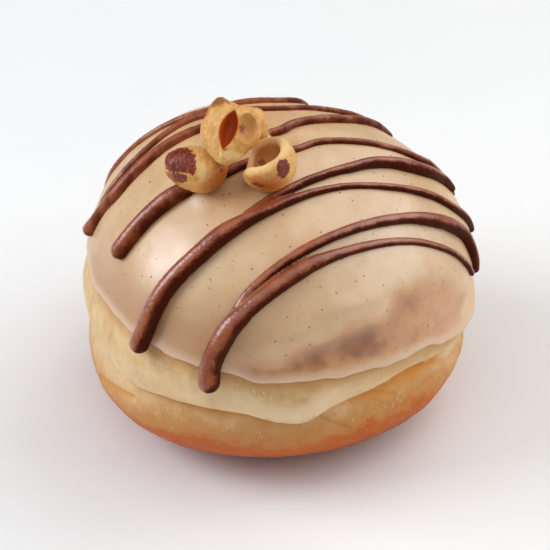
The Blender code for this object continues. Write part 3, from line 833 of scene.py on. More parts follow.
# %% The icing's shell
def icing_rings(edge):
    """The rises of the shell's rings and their heights above the dough, in order."""
    inner = edge + side_angle(LIP_BACK)
    rises = [POLE + (inner - POLE) * k / INSIDE_ROWS for k in range(INSIDE_ROWS)]
    heights = [ICING_SINK] * INSIDE_ROWS
    for turn in np.radians(np.linspace(-90, 90, LIP_ROWS)):
        rises.append(edge + side_angle(LIP_BACK - LIP_ROUND * np.cos(turn)))
        thick = (1 + np.sin(turn)) / 2
        heights.append(ICING_SINK + thick * (ICING_GAP + ICING_THICKNESS - ICING_SINK))
    rises += [inner + (POLE - inner) * k / CAP_ROWS for k in range(1, CAP_ROWS + 1)]
    heights += [ICING_GAP + ICING_THICKNESS] * CAP_ROWS
    return np.array(rises), np.array(heights)[:, None]


def make_icing(material):
    azimuth = steps_round(DOUGH_COLUMNS, -180)
    edge = wavy_edge(azimuth)
    rise, height = icing_rings(edge)
    # 0 over the inner third of the thickness, 1 on the outer face
    outside = ease(height / (ICING_GAP + ICING_THICKNESS) * 1.5 - 0.5)
    from_edge = side_length(rise - edge) / MM
    lumps = sum(lump(azimuth, rise, row) for row in LUMPS)
    hollow = hollow_amount(azimuth, rise)
    lip = LIP_SWELL * MM * np.exp(-((from_edge - LIP_SWELL_PLACE) / LIP_SWELL_REACH) ** 2)
    height = height + outside * (lumps * MM * ease(from_edge / LUMP_START)
                                 - HOLLOW_SINK * hollow + lip)
    points = over_dough(azimuth, rise, height)
    points[..., 2] += outside * seat_height(points)
    values = {
        "from_edge": from_edge,
        "lumps": lumps,
        "hollow": hollow,
        "painted_light": sum(lump(azimuth, rise, row) for row in PAINTED_LIGHT_PLACES),
        "low_painted_shade": around(azimuth, LOW_SHADE_PARTS) * ease(1 - (from_edge - LOW_SHADE_FULL) / LOW_SHADE_FADE),
        "free": outside * ease(from_edge / UNEVEN_START),
    }
    piece = ring_piece("icing_cap", points, values)
    return run_tree(piece, UNEVEN_SKIN, Material=material, Broad_Size=14 * MM,
                    Broad_Depth=0.45 * MM, Fine_Size=2.5 * MM, Fine_Depth=0.02 * MM, Seed=7.0)


# %% The icing's finish
ICING_LIGHT = shade(228, 190, 144)
ICING_PATCHES = shade(214, 172, 122)
# Painted shade, a brown, on the low part of the cap that faces away from the light
ICING_LOW_PAINTED_SHADE = shade(172, 118, 72)
# Painted light: paler places for highlights and sheen on the ridge, the dome and round a nut
ICING_PAINTED_LIGHT = shade(244, 222, 194)
ICING_LUMPS = shade(214, 182, 138)
# Painted shade in the hollow at the near right, from tan to dark brown
HOLLOW_SHADE_TAN = shade(202, 142, 88)
HOLLOW_SHADE_BROWN = shade(186, 128, 76)
HOLLOW_SHADE_DARK = shade(146, 84, 40)
# Painted shade in the dents of the icing
ICING_DENT_SHADE = shade(146, 90, 54)
# Painted light along the icing's rounded edge, which catches the light
ICING_EDGE_LIGHT = shade(224, 188, 158)
FAINT_SPECKS = shade(150, 112, 76)
DARK_SPECKS = shade(110, 76, 50)


def icing_finish():
    finish = Finish("nougat_icing", Roughness=0.42, Specular_IOR_Level=1.0, IOR=1.58)
    patches = finish.group(CLOUDS, Size=16 * MM, Low=0.38, High=0.62, Seed=4.0)
    mottle = finish.group(CLOUDS, Size=6 * MM, Low=0.3, High=0.7, Seed=5.0)
    faint = finish.group(SPECKS, Spacing=1.5 * MM, Radius=0.3 * MM)
    dark = finish.group(SPECKS, Spacing=3.1 * MM, Radius=0.36 * MM)
    lumps = finish.stored("lumps")
    hollow = finish.broken(finish.stored("hollow"), mottle, 0.35)
    colour = finish.layers(
        ICING_LIGHT,
        (patches, ICING_PATCHES),
        (finish.stored("low_painted_shade"), ICING_LOW_PAINTED_SHADE),
        (finish.stored("painted_light"), ICING_PAINTED_LIGHT),
        (finish.span(lumps, 0.1, 0.55, 0.0, 0.6), ICING_LUMPS),
        (finish.span(hollow, -0.1, 0.7, 0.0, 0.95), HOLLOW_SHADE_TAN),
        (finish.span(hollow, 0.5, 1.1), finish.layers(HOLLOW_SHADE_BROWN, (mottle, HOLLOW_SHADE_DARK))),
        (finish.span(lumps, -0.1, -0.45, 0.0, 0.6), ICING_DENT_SHADE),
        (finish.span(finish.stored("from_edge"), 2.6, 0.4, 0.0, 0.7), ICING_EDGE_LIGHT),
        (finish.times(faint, 0.3), FAINT_SPECKS),
        (finish.times(dark, 0.5), DARK_SPECKS))
    finish.feed("Base Color", colour)
    relief = finish.group(RELIEF, Broad_Size=5 * MM, Fine_Size=0.7 * MM, Fine_Share=0.12)
    finish.bump(relief, 0.06 * MM)
    finish.feed("Roughness", finish.span(patches, 0.0, 1.0, 0.39, 0.45))
    return finish.material


icing = make_icing(icing_finish())
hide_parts("icing")
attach(icing, "root")

# %% [markdown]
# Nougat icing holds ground nuts, and the largest grains show as dark specks that stand a little
# proud of it. Geometry Nodes scatter them over the outer face with a least distance between them,
# thin them out in clumps with a noise, and turn each one flat against the skin.

# %% Specks of ground nut
GRAIN_RADIUS = (0.10 * MM, 0.26 * MM)
GRAIN_SPACING = 1.8 * MM
GRAINS_PER_AREA = 2.0e5


def build_scatter_tree():
    tree, given, result = new_tree("scattered grains", "Geometry", {
        "Spacing": GRAIN_SPACING, "Density": GRAINS_PER_AREA, "Least": GRAIN_RADIUS[0],
        "Most": GRAIN_RADIUS[1], "Clump Size": 7 * MM, "Seed": 3})
    outer = math_node(tree, "GREATER_THAN", stored_value(tree, "free"), 0.9)
    clumps = noise_node(tree, position(tree), given["Clump Size"], 1.0)
    points = add_node(tree, "GeometryNodeDistributePointsOnFaces",
                      {"distribute_method": "POISSON"}, Mesh=given["Geometry"], Selection=outer,
                      Distance_Min=given["Spacing"], Density_Max=given["Density"],
                      Density_Factor=span_node(tree, clumps, 0.35, 0.65, 0.25, 1.0, "LINEAR"),
                      Seed=given["Seed"])
    ball = add_node(tree, "GeometryNodeMeshIcoSphere", Radius=1.0, Subdivisions=2)
    flat = add_node(tree, "GeometryNodeTransform", Geometry=ball.outputs["Mesh"],
                    Scale=(1.0, 0.8, 0.5))
    smooth = add_node(tree, "GeometryNodeSetShadeSmooth", Geometry=flat.outputs[0])
    draw = add_node(tree, "FunctionNodeRandomValue", {"data_type": "FLOAT"}, Min=0.0, Max=1.0,
                    Seed=given["Seed"])
    size = span_node(tree, math_node(tree, "POWER", draw.outputs["Value"], 2.0), 0.0, 1.0,
                     given["Least"], given["Most"], "LINEAR")
    grains = add_node(tree, "GeometryNodeInstanceOnPoints", Points=points.outputs["Points"],
                      Instance=smooth.outputs[0], Rotation=points.outputs["Rotation"],
                      Scale=size)
    return end_tree(tree, grains.outputs[0], given, result)


GRAIN_DARK = shade(112, 74, 46)
GRAIN_LIGHT = shade(188, 148, 108)


def grain_finish():
    finish = Finish("ground_nut", Roughness=0.5, Specular_IOR_Level=0.5)
    patches = finish.group(CLOUDS, Size=2 * MM, Low=0.35, High=0.55, Seed=6.0)
    finish.feed("Base Color", finish.layers(GRAIN_DARK, (patches, GRAIN_LIGHT)))
    finish.bump(finish.group(RELIEF, Broad_Size=0.3 * MM, Fine_Size=0.1 * MM), 0.03 * MM)
    return finish.material


def make_grains():
    piece = add_object("icing_grains", icing.data.copy())
    return run_tree(piece, build_scatter_tree(), Material=grain_finish())


grains = make_grains()
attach(grains, "root")

# %% [markdown]
# ## The chocolate drizzle
#
# Milk chocolate is flicked across the doughnut from a piping bag. Each pass leaves a strand that
# starts with a fat drop at the near left, thins as it crosses the crown, and runs on over the far
# side, and where two passes meet they melt together. Each strand is a curve with a thickness at
# every point. Geometry Nodes sweep a round bead along the curves, put a ball on each end, and turn
# the whole set into one volume and back into a mesh, which blends the beads where they touch.

# %% The strands' places on the dome
# Degrees from the crown to the right and to the back, and the bead's width in mm
STRANDS = {
    "drizzle_front": {
        "front": ((-21.0, -76.4, 4.6), (-19.5, -72.0, 4.3), (-13.4, -64.6, 4.4),
                  (-9.0, -61.4, 3.9), (-6.0, -59.4, 3.3), (5.8, -51.8, 3.4), (11.8, -48.0, 3.1),
                  (18.0, -44.6, 2.5), (24.4, -41.1, 2.0), (44.7, -29.8, 1.5), (56.5, -23.8, 1.3),
                  (66.8, -18.4, 1.2), (77.0, -13.5, 1.1)),
        "front_branch": ((-13.5, -63.0, 1.8), (-6.2, -55.4, 1.8), (2.8, -48.7, 1.9),
                         (14.8, -40.9, 2.1), (27.3, -32.9, 2.1), (43.5, -22.4, 2.4),
                         (50.5, -18.2, 2.8), (58.5, -13.2, 3.0), (67.0, -8.6, 2.6),
                         (80.0, -6.5, 1.8)),
        "middle": ((-44.3, -60.6, 4.1), (-32.7, -50.8, 3.9), (-20.0, -43.5, 3.8),
                   (-12.6, -39.0, 3.8), (-0.2, -32.6, 2.3), (19.0, -22.0, 1.4),
                   (36.5, -14.4, 1.4), (50.3, -7.6, 1.6), (59.0, -3.1, 1.7), (66.0, 2.0, 1.9),
                   (74.0, 9.0, 1.8)),
        "middle_branch": ((-6.7, -34.6, 2.2), (5.5, -25.4, 2.0), (17.7, -16.6, 1.9),
                          (24.0, -12.4, 2.2), (30.0, -7.8, 2.4), (36.3, -3.8, 2.5),
                          (42.9, -0.4, 2.8), (51.0, 5.0, 2.6), (62.0, 15.0, 1.9)),
    },
    "drizzle_rear": {
        "short": ((-48.0, -31.2, 3.8), (-41.0, -28.2, 3.7), (-34.0, -25.2, 3.7),
                  (-28.2, -23.2, 3.8), (-16.0, -20.0, 2.4), (-3.0, -13.5, 1.8), (7.9, -7.6, 1.5),
                  (15.0, -2.2, 1.4), (27.3, 2.8, 1.3), (37.0, 6.1, 1.4), (47.7, 10.9, 1.6),
                  (53.0, 17.0, 1.5), (66.0, 24.0, 1.8)),
        "rear_left": ((-66.5, -3.4, 3.0), (-62.0, -3.9, 2.4), (-57.0, -4.1, 2.2),
                      (-50.6, -4.7, 2.4), (-42.0, -1.4, 2.4), (-30.0, 3.7, 2.2),
                      (-20.2, 6.4, 1.9)),
        "rear_right": ((0.4, 0.7, 1.8), (3.4, 2.5, 1.9), (6.8, 6.4, 1.9), (14.6, 11.9, 1.9),
                       (24.8, 18.4, 1.9), (32.2, 26.6, 1.9), (41.0, 37.0, 1.7)),
        "rear_branch": ((-60.0, -1.5, 1.6), (-56.3, 1.2, 1.5), (-41.4, 7.5, 1.4),
                        (-25.6, 15.2, 1.5), (-9.4, 16.2, 1.3), (-0.9, 17.4, 1.2),
                        (6.0, 20.0, 1.2), (12.4, 23.9, 1.2), (19.0, 27.1, 1.3),
                        (30.0, 33.0, 1.8), (38.0, 42.0, 1.6)),
        "far": ((-66.0, 36.0, 1.0), (-56.0, 26.0, 1.1), (-44.0, 21.7, 1.2), (-20.3, 20.0, 1.4),
                (-13.0, 23.1, 1.3), (-9.6, 24.6, 1.4), (-2.8, 26.5, 1.5), (2.9, 29.0, 1.4),
                (9.0, 38.0, 1.5), (14.0, 52.0, 1.5)),
    },
}
# How high a bead's middle line lies above the icing, as a part of its width
BEAD_LIFT = 0.28
BEAD_STEP = 1.0 * MM
BEAD_CUBE = 0.23 * MM
# What turning the beads into one skin takes off their radius
BEAD_LOSS = 0.15 * MM
# The side turned away from the light, to the right, the front and down, where painted shade goes
SHADED_SIDE = (0.62, -0.62, -0.48)
# How strong the painted shade is on each set of strands
PAINTED_SHADE_PARTS = {"drizzle_front": 1.0, "drizzle_rear": 0.5}
PATH_FINENESS = 20


# %% Strands as curves that follow the icing
def smooth_path(points, step):
    """Points at even steps along a smooth curve through the given ones."""
    points = np.array(points, float)
    ends = np.concatenate([[2 * points[0] - points[1]], points, [2 * points[-1] - points[-2]]])
    fine = []
    for a, b, c, d in zip(ends, ends[1:], ends[2:], ends[3:]):
        t = np.linspace(0, 1, PATH_FINENESS, endpoint=False)[:, None]
        fine.append(0.5 * (2 * b + (c - a) * t + (2 * a - 5 * b + 4 * c - d) * t ** 2
                           + (3 * b - a - 3 * c + d) * t ** 3))
    fine = np.concatenate(fine + [points[-1:]])
    along = np.concatenate([[0], np.cumsum(np.linalg.norm(np.diff(fine, axis=0), axis=1))])
    even = np.linspace(0, along[-1], round(along[-1] / step) + 1)
    return np.stack([np.interp(even, along, fine[:, k]) for k in range(fine.shape[1])], -1)


def strand_centres(places):
    """The middle line of a strand on the icing, and its width at each point."""
    step = np.degrees(BEAD_STEP / (UPPER_RADIUS + ICING_THICKNESS))
    right, back, width = smooth_path(places, step).T
    azimuth = np.degrees(np.arctan2(back, right))
    rise = POLE - np.hypot(right, back)
    width = width * MM
    return over_dough(azimuth, rise, ICING_GAP + ICING_THICKNESS + BEAD_LIFT * width), width


def strand_curves(name):
    curve = bpy.data.curves.new(name, "CURVE")
    curve.dimensions = "3D"
    for places in STRANDS[name].values():
        centres, width = strand_centres(places)
        spline = curve.splines.new("POLY")
        spline.points.add(len(centres) - 1)
        spline.points.foreach_set("co", np.c_[centres, np.ones(len(centres))].ravel())
        spline.points.foreach_set("radius", width / 2 + BEAD_LOSS)
    print(name, "strands:", len(STRANDS[name]))
    return add_object(name, curve)


# %% The tree that pipes the beads
def build_piping_tree():
    tree, given, result = new_tree("piped beads", "Geometry", {
        "Cube": BEAD_CUBE, "Sides": 20, "Soften": 2, "Wobble Size": 5 * MM,
        "Wobble Depth": 0.12 * MM, "Grain Size": 0.55 * MM, "Grain Depth": 0.1 * MM})
    radius = add_node(tree, "GeometryNodeInputRadius").outputs[0]
    section = add_node(tree, "GeometryNodeCurvePrimitiveCircle", Resolution=given["Sides"],
                       Radius=1.0)
    beads = add_node(tree, "GeometryNodeCurveToMesh", Curve=given["Geometry"],
                     Profile_Curve=section.outputs["Curve"], Scale=radius, Fill_Caps=True)
    ends = add_node(tree, "GeometryNodeCurveEndpointSelection")
    ball = add_node(tree, "GeometryNodeMeshUVSphere", Segments=20, Rings=12, Radius=1.0)
    tips = add_node(tree, "GeometryNodeInstanceOnPoints", Points=given["Geometry"],
                    Selection=ends.outputs[0], Instance=ball.outputs["Mesh"], Scale=radius)
    real_tips = add_node(tree, "GeometryNodeRealizeInstances", Geometry=tips.outputs[0])
    joined = add_node(tree, "GeometryNodeJoinGeometry")
    tree.links.new(beads.outputs[0], joined.inputs[0])
    tree.links.new(real_tips.outputs[0], joined.inputs[0])
    volume = add_node(tree, "GeometryNodeMeshToVolume", {"resolution_mode": "VOXEL_SIZE"},
                      Mesh=joined.outputs[0], Voxel_Size=given["Cube"],
                      Interior_Band_Width=math_node(tree, "MULTIPLY", given["Cube"], 3.0))
    mesh = add_node(tree, "GeometryNodeVolumeToMesh", {"resolution_mode": "VOXEL_SIZE"},
                    Volume=volume.outputs[0], Voxel_Size=given["Cube"], Threshold=0.1)
    place = position(tree)
    soft = add_node(tree, "GeometryNodeBlurAttribute", {"data_type": "FLOAT_VECTOR"},
                    Value=place, Iterations=given["Soften"])
    smoothed = add_node(tree, "GeometryNodeSetPosition", Geometry=mesh.outputs[0],
                        Position=soft.outputs[0])
    wobble = noise_push(tree, place, given["Wobble Size"], given["Wobble Depth"], 5.0)
    grain = noise_push(tree, place, given["Grain Size"], given["Grain Depth"], 6.0)
    wobbled = push_out(tree, smoothed.outputs[0], math_node(tree, "ADD", wobble, grain))
    smooth = add_node(tree, "GeometryNodeSetShadeSmooth", Geometry=wobbled)
    return end_tree(tree, smooth.outputs[0], given, result)


# %% The chocolate's finish
# Chocolate colours; the near-black one is painted shade on the beads' side away from the light
CHOCOLATE_LIGHT = shade(162, 84, 47)
CHOCOLATE_PATCHES = shade(140, 66, 36)
CHOCOLATE_PAINTED_SHADE = shade(62, 16, 4)


def chocolate_finish():
    finish = Finish("milk_chocolate", Roughness=0.42, Specular_IOR_Level=0.05, Coat_Roughness=0.3,
                    Coat_IOR=1.75)
    patches = finish.group(CLOUDS, Size=4 * MM, Low=0.4, High=0.6, Seed=9.0)
    painted_shade = finish.broken(finish.stored("painted_shade"), patches, 0.12)
    colour = finish.layers(
        CHOCOLATE_LIGHT,
        (patches, CHOCOLATE_PATCHES),
        (finish.span(painted_shade, 0.05, 0.6, 0.0, 0.95), CHOCOLATE_PAINTED_SHADE))
    finish.feed("Base Color", colour)
    # The glossy coat is kept off the painted shade, so that only the lit side of a bead shines
    finish.feed("Coat Weight", finish.span(painted_shade, 0.45, -0.1))
    relief = finish.group(RELIEF, Broad_Size=1.2 * MM, Fine_Size=0.2 * MM, Fine_Share=0.8)
    finish.bump(relief, 0.1 * MM)
    finish.feed("Roughness", finish.span(patches, 0.0, 1.0, 0.36, 0.48))
    return finish.material


# %% The drizzle, in two sets of strands
def mark_painted_shade(piece):
    """Store painted shade: how far the skin of a bead leans away from the light, by its set's own
    part.
    """
    points = points_of(piece)
    normals = np.empty(points.size)
    piece.data.vertex_normals.foreach_get("vector", normals)
    normals = normals.reshape(-1, 3)
    outwards = unit(points - np.array([0, 0, WIDE_HEIGHT]))
    across = normals - np.sum(normals * outwards, 1, keepdims=True) * outwards
    mark(piece, "painted_shade", across @ np.array(SHADED_SIDE) * PAINTED_SHADE_PARTS[piece.name])


PIPING = build_piping_tree()
CHOCOLATE = chocolate_finish()
for name in STRANDS:
    drizzle = run_tree(strand_curves(name), PIPING, Material=CHOCOLATE, Cube=BEAD_CUBE)
    mark_painted_shade(drizzle)
    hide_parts("icing")
    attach(drizzle, "root")

# %% [markdown]
# ## The hazelnut pieces
#
# Roasted hazelnuts are rolled in a cloth to rub off their skins, and scraps of dark skin stay on.
# One kernel is whole, one is split open at the front, one is a half on edge behind it, and one is
# hollowed like a cup. Each kernel is shaped by a formula of its own. The split one is cut with two
# cutters and then remeshed into small even faces, so that its edges can be worn round.

# %% Sizes of the nuts
WHOLE_NUT_PLACE = (-15.5 * MM, -16.7 * MM, 68.75 * MM)
WHOLE_NUT_TURN = (0, 9, -4)
WHOLE_NUT_HALF = (6.6 * MM, 4.6 * MM, 4.6 * MM)
WHOLE_NUT_TAPER = 0.06
BLUNT_END = 2.3
ROUND_END = 2.0
SPLIT_NUT_PLACE = (-8.4 * MM, -15.7 * MM, 76.95 * MM)
SPLIT_NUT_TURN = (-42, 0, 0)
# The outline of its front: angles in degrees, and distances from its middle in mm
SPLIT_NUT_OUTLINE = ((-50, 5.7), (-16, 6.3), (13, 6.7), (30, 7.0), (43, 7.0), (58, 6.2), (76, 5.8),
                     (90, 6.3), (104, 7.3), (120, 7.0), (140, 5.9), (176, 6.0), (208, 6.1),
                     (238, 6.4), (256, 7.0), (278, 6.6))
SPLIT_NUT_FRONT = 3.6 * MM
SPLIT_NUT_BACK = 2.3 * MM
SLOT_LENGTH = 9.0 * MM
SLOT_WIDTH = 3.4 * MM
SLOT_DEPTH = 3.2 * MM
SLOT_TILT = 16
SLOT_MIDDLE = (0.0 * MM, -3.6 * MM, -0.1 * MM)
HOLLOW_MIDDLE = (4.0 * MM, -2.95 * MM, 0.0 * MM)
HOLLOW_HALF = (2.2 * MM, 1.9 * MM, 3.4 * MM)
# How far the colour of a cut face reaches and how softly it ends, as parts of the cutter's size
CUT_REACH = 1.2
HOLLOW_BLUR = 0.4
SLOT_BLUR = 0.15
BACK_NUT_PLACE = (-3.0 * MM, -5.8 * MM, 71.7 * MM)
BACK_NUT_TURN = (0, 0, 10)
BACK_NUT_HALF = (2.7 * MM, 3.6 * MM, 4.6 * MM)
BACK_NUT_FLATNESS = 0.35
CUP_NUT_PLACE = (-0.3 * MM, -17.8 * MM, 70.2 * MM)
CUP_NUT_TURN = (4, -24, 0)
# The section through the cup's wall from its foot over the rim to its inside, as distances from the
# axis and heights, and the step along it, in mm
CUP_PROFILE = ((0, -4.7), (2.8, -4.4), (4.7, -3.1), (5.8, -1.0), (5.9, 1.2), (5.5, 2.8),
               (4.7, 3.4), (3.9, 2.9), (3.4, 1.2), (2.3, -0.4), (0, -1.0))
CUP_STEP = 0.25
# Where the cup's wall is broken down: above this height, towards where, over how many degrees to
# each side, and how much of the wall's height is missing
CUP_BREAK_FOOT = -1.0 * MM
CUP_BREAK_TOWARDS = 165
CUP_BREAK_SPREAD = 65
CUP_BREAK_PART = 0.75
# How much of the section, to each side of the rim, the pale rim takes
CUP_RIM_PART = 0.10
NUT_COLUMNS = 120
NUT_ROWS = 80
NUT_CUBE = 0.14 * MM


# %% Ways to shape a kernel
def rotation(turn):
    """Turns about X, Y and Z in that order, in degrees, as a matrix."""
    return np.array(Euler(np.radians(turn)).to_matrix())


def placed(points, place, turn):
    """Points turned, then moved to their place."""
    return points @ rotation(turn).T + np.array(place)


def unplaced(points, place, turn):
    """Points moved and turned back from their place."""
    return (points - np.array(place)) @ rotation(turn)


def kernel_directions():
    """Directions over a ball, in rings from its lowest point to its highest."""
    return directions(steps_round(NUT_COLUMNS), np.linspace(-POLE, POLE, NUT_ROWS + 1)[:, None])


def near(points, spots):
    """1 in the middle of a spot, given as (place, half sizes) in mm, 0 at its edge."""
    closeness = -np.ones(len(points))
    for place, half in spots:
        away = (points / MM - np.array(place)) / np.array(half)
        closeness = np.maximum(closeness, 1 - np.linalg.norm(away, axis=-1))
    return closeness


# %% The hazelnut's finish
KERNEL_LIGHT = shade(228, 168, 90)
KERNEL_PATCHES = shade(206, 138, 58)
KERNEL_GRAIN = shade(252, 212, 144)
TOASTED_SIDE = shade(178, 88, 6)
CUT_FACE = shade(198, 134, 72)
SLOT_WALL = shade(192, 80, 14)
WORN_RIM = shade(246, 204, 138)
STAIN_BROWN = shade(140, 74, 34)
SKIN_DARK = shade(96, 22, 12)
SKIN_LIGHT = shade(174, 70, 46)


def hazelnut_finish():
    finish = Finish("hazelnut", Roughness=0.42, Specular_IOR_Level=0.35)
    patches = finish.group(CLOUDS, Size=3.2 * MM, Low=0.38, High=0.62, Seed=11.0)
    fine = finish.group(CLOUDS, Size=0.7 * MM, Low=0.3, High=0.7, Seed=12.0)
    tiny = finish.group(CLOUDS, Size=0.35 * MM, Low=0.35, High=0.65, Seed=13.0)

    def torn(label, low, high, most, raggedness):
        """A mark's amount, with its round spots broken up by the fine clouds."""
        return finish.span(finish.broken(finish.stored(label), fine, raggedness),
                           low, high, 0.0, most)

    skin = finish.layers(SKIN_DARK, (finish.times(fine, tiny), SKIN_LIGHT))
    colour = finish.layers(
        KERNEL_LIGHT,
        (patches, KERNEL_PATCHES),
        (finish.times(fine, 0.4), KERNEL_GRAIN),
        (torn("toast", 0.0, 0.75, 0.95, 0.3), TOASTED_SIDE),
        (torn("cut", 0.1, 0.9, 0.8, 0.5), CUT_FACE),
        (torn("cut", 1.2, 1.9, 0.95, 0.3), SLOT_WALL),
        (torn("rim", 0.0, 0.5, 0.8, 0.3), WORN_RIM),
        (torn("stain", 0.0, 0.5, 0.85, 0.5), STAIN_BROWN),
        (torn("scrap", 0.04, 0.12, 0.97, 0.3), skin))
    finish.feed("Base Color", colour)
    relief = finish.group(RELIEF, Broad_Size=0.9 * MM, Fine_Size=0.25 * MM, Fine_Share=0.5)
    finish.bump(relief, 0.12 * MM)
    finish.feed("Roughness", finish.span(finish.stored("scrap"), 0.0, 0.3, 0.45, 0.32))
    return finish.material


HAZELNUT = hazelnut_finish()

# %% [markdown]
# Roasting leaves each kernel its own marks: scraps of dark skin, brown stains, toasted orange
# sides, and pale worn rims. Each mark is a spot with a place and half sizes, and every point stores
# how close it is to the nearest spot of each kind. The finish breaks the round spots up with noise,
# so that they look torn. Cut faces are stored too, because the inside of a nut has other colours.

# %% The marks on each kernel: place and half sizes in mm
MARKS = {
    "scrap": {
        "nut_whole": (((-19.1, -18.6, 72.2), (4.3, 4.2, 2.9)),
                      ((-15.9, -20.6, 71.4), (0.9, 1.2, 1.9)),
                      ((-18.4, -20.5, 68.9), (2.0, 1.4, 1.2))),
        "nut_cup": (((2.5, -22.3, 72.2), (1.7, 1.7, 2.3)), ((-2.5, -23.0, 68.8), (1.9, 1.2, 0.6))),
    },
    "stain": {
        "nut_whole": (((-10.1, -19.5, 69.9), (0.7, 0.7, 0.7)),
                      ((-20.2, -19.6, 68.2), (2.6, 2.4, 2.0))),
        "nut_split": (((-10.6, -12.8, 82.4), (2.6, 2.2, 1.3)),
                      ((-6.0, -16.5, 78.0), (1.0, 1.2, 1.3))),
        "nut_cup": (((-1.8, -15.6, 69.6), (1.0, 1.0, 0.8)),),
    },
    "toast": {
        "nut_whole": (((-10.0, -19.4, 67.6), (6.0, 4.8, 5.4)),),
        "nut_split": (((-13.8, -13.4, 81.0), (2.8, 2.6, 3.2)),
                      ((-7.0, -16.1, 78.7), (0.8, 0.9, 1.6)),
                      ((-7.9, -17.6, 76.7), (0.9, 1.2, 1.3)),
                      ((-9.2, -20.4, 75.9), (0.8, 1.0, 0.9))),
        "nut_back": (((-1.8, -8.2, 69.0), (3.4, 3.6, 4.4)),),
        "nut_cup": (((1.4, -22.4, 74.0), (2.0, 1.8, 1.8)), ((-1.0, -22.8, 68.8), (6.5, 3.6, 4.0))),
    },
    "rim": {
        "nut_whole": (((-14.0, -20.8, 70.6), (1.3, 2.0, 2.8)),),
        "nut_split": (((-8.2, -20.8, 74.4), (2.6, 1.6, 1.2)),
                      ((-6.2, -19.9, 73.4), (1.6, 1.6, 1.2))),
    },
}


def dress_nut(piece, name, stretch, seed):
    """Store the marks, make the kernel uneven, and let it stand for its solid."""
    points = points_of(piece)
    for label, spots in MARKS.items():
        if not piece.data.attributes.get(label):
            mark(piece, label, near(points, spots.get(name, ())))
    if not piece.data.attributes.get("cut"):
        mark(piece, "cut", np.zeros(len(points)))
    mark(piece, "free", np.ones(len(points)))
    piece = run_tree(piece, UNEVEN_SKIN, Material=HAZELNUT, Broad_Size=3.5 * MM,
                     Broad_Depth=0.35 * MM, Fine_Size=0.9 * MM, Fine_Depth=0.16 * MM,
                     Stretch=stretch, Seed=seed)
    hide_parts(name)
    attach(piece, "root")


# %% The whole kernel and the half behind
def whole_nut():
    points = kernel_directions()
    along = points[..., :1]
    taper = 1 + WHOLE_NUT_TAPER * along
    bluntness = np.where(along > 0, BLUNT_END, ROUND_END)
    points = points * np.sum(np.abs(points) ** bluntness, -1, keepdims=True) ** (-1 / bluntness)
    points = points * np.array(WHOLE_NUT_HALF)
    points[..., 1:] *= taper
    return ring_piece("hazelnut_whole", placed(points, WHOLE_NUT_PLACE, WHOLE_NUT_TURN))


def back_nut():
    points = kernel_directions() * np.array(BACK_NUT_HALF)
    flat = points[..., 0] < 0
    points[..., 0] = np.where(flat, points[..., 0] * BACK_NUT_FLATNESS, points[..., 0])
    return ring_piece("hazelnut_back", placed(points, BACK_NUT_PLACE, BACK_NUT_TURN))


# %% The cup, turned from its section
def cup_nut():
    section = smooth_path(CUP_PROFILE, CUP_STEP)
    steps = np.linspace(0, len(section) - 1, NUT_ROWS + 1)
    radius = np.interp(steps, np.arange(len(section)), section[:, 0]) * MM
    height = np.interp(steps, np.arange(len(section)), section[:, 1]) * MM
    radius[[0, -1]] = 0
    degrees = steps_round(NUT_COLUMNS)
    turn = np.radians(degrees)
    kept = 1 - CUP_BREAK_PART * ease(1 - np.abs(degrees - CUP_BREAK_TOWARDS) / CUP_BREAK_SPREAD)
    above = height[:, None] - CUP_BREAK_FOOT
    up = CUP_BREAK_FOOT + np.where(above > 0, above * kept, above)
    rings = np.stack([radius[:, None] * np.cos(turn), radius[:, None] * np.sin(turn), up], -1)
    past_rim = (np.arange(NUT_ROWS + 1) - np.argmax(height))[:, None] / NUT_ROWS + 0 * up
    values = {"cut": ease(past_rim / CUP_RIM_PART), "rim": 1 - np.abs(past_rim) / CUP_RIM_PART}
    return ring_piece("hazelnut_cup", placed(rings, CUP_NUT_PLACE, CUP_NUT_TURN), values)


# %% The split kernel, cut and remeshed
def slot_cutter():
    """A lens-shaped solid, pointed above and below, that opens the split kernel's front."""
    turn = np.radians(steps_round(NUT_COLUMNS))
    rings = []
    for t in np.linspace(-1, 1, NUT_ROWS + 1):
        half_width = SLOT_WIDTH / 2 * (1 - t * t)
        half_depth = SLOT_DEPTH * (1 - t * t) ** 0.5
        rings.append(np.stack([half_width * np.cos(turn), half_depth * np.sin(turn),
                               0 * turn + t * SLOT_LENGTH / 2], -1))
    points = placed(np.array(rings), SLOT_MIDDLE, (0, SLOT_TILT, 0))
    return ring_piece("slot_cutter", placed(points, SPLIT_NUT_PLACE, SPLIT_NUT_TURN))


def hollow_cutter():
    """A ball that scoops the hollow out of the split kernel's right half."""
    points = kernel_directions() * np.array(HOLLOW_HALF) + np.array(HOLLOW_MIDDLE)
    return ring_piece("hollow_cutter", placed(points, SPLIT_NUT_PLACE, SPLIT_NUT_TURN))


def cut_faces(points):
    """2 on the walls of the slot, 1 on those of the hollow, 0 on the kernel's own skin."""
    own = unplaced(points, SPLIT_NUT_PLACE, SPLIT_NUT_TURN)
    in_hollow = np.linalg.norm((own - np.array(HOLLOW_MIDDLE)) / np.array(HOLLOW_HALF), axis=1)
    across, depth, along = unplaced(own, SLOT_MIDDLE, (0, SLOT_TILT, 0)).T
    open_part = np.clip(1 - (along / (SLOT_LENGTH / 2)) ** 2, LEAST_DIVISOR, 1)
    in_slot = np.hypot(across / (SLOT_WIDTH / 2 * open_part),
                       depth / (SLOT_DEPTH * open_part ** 0.5))
    return np.maximum(ease((CUT_REACH - in_hollow) / HOLLOW_BLUR),
                      2 * ease((CUT_REACH - in_slot) / SLOT_BLUR))


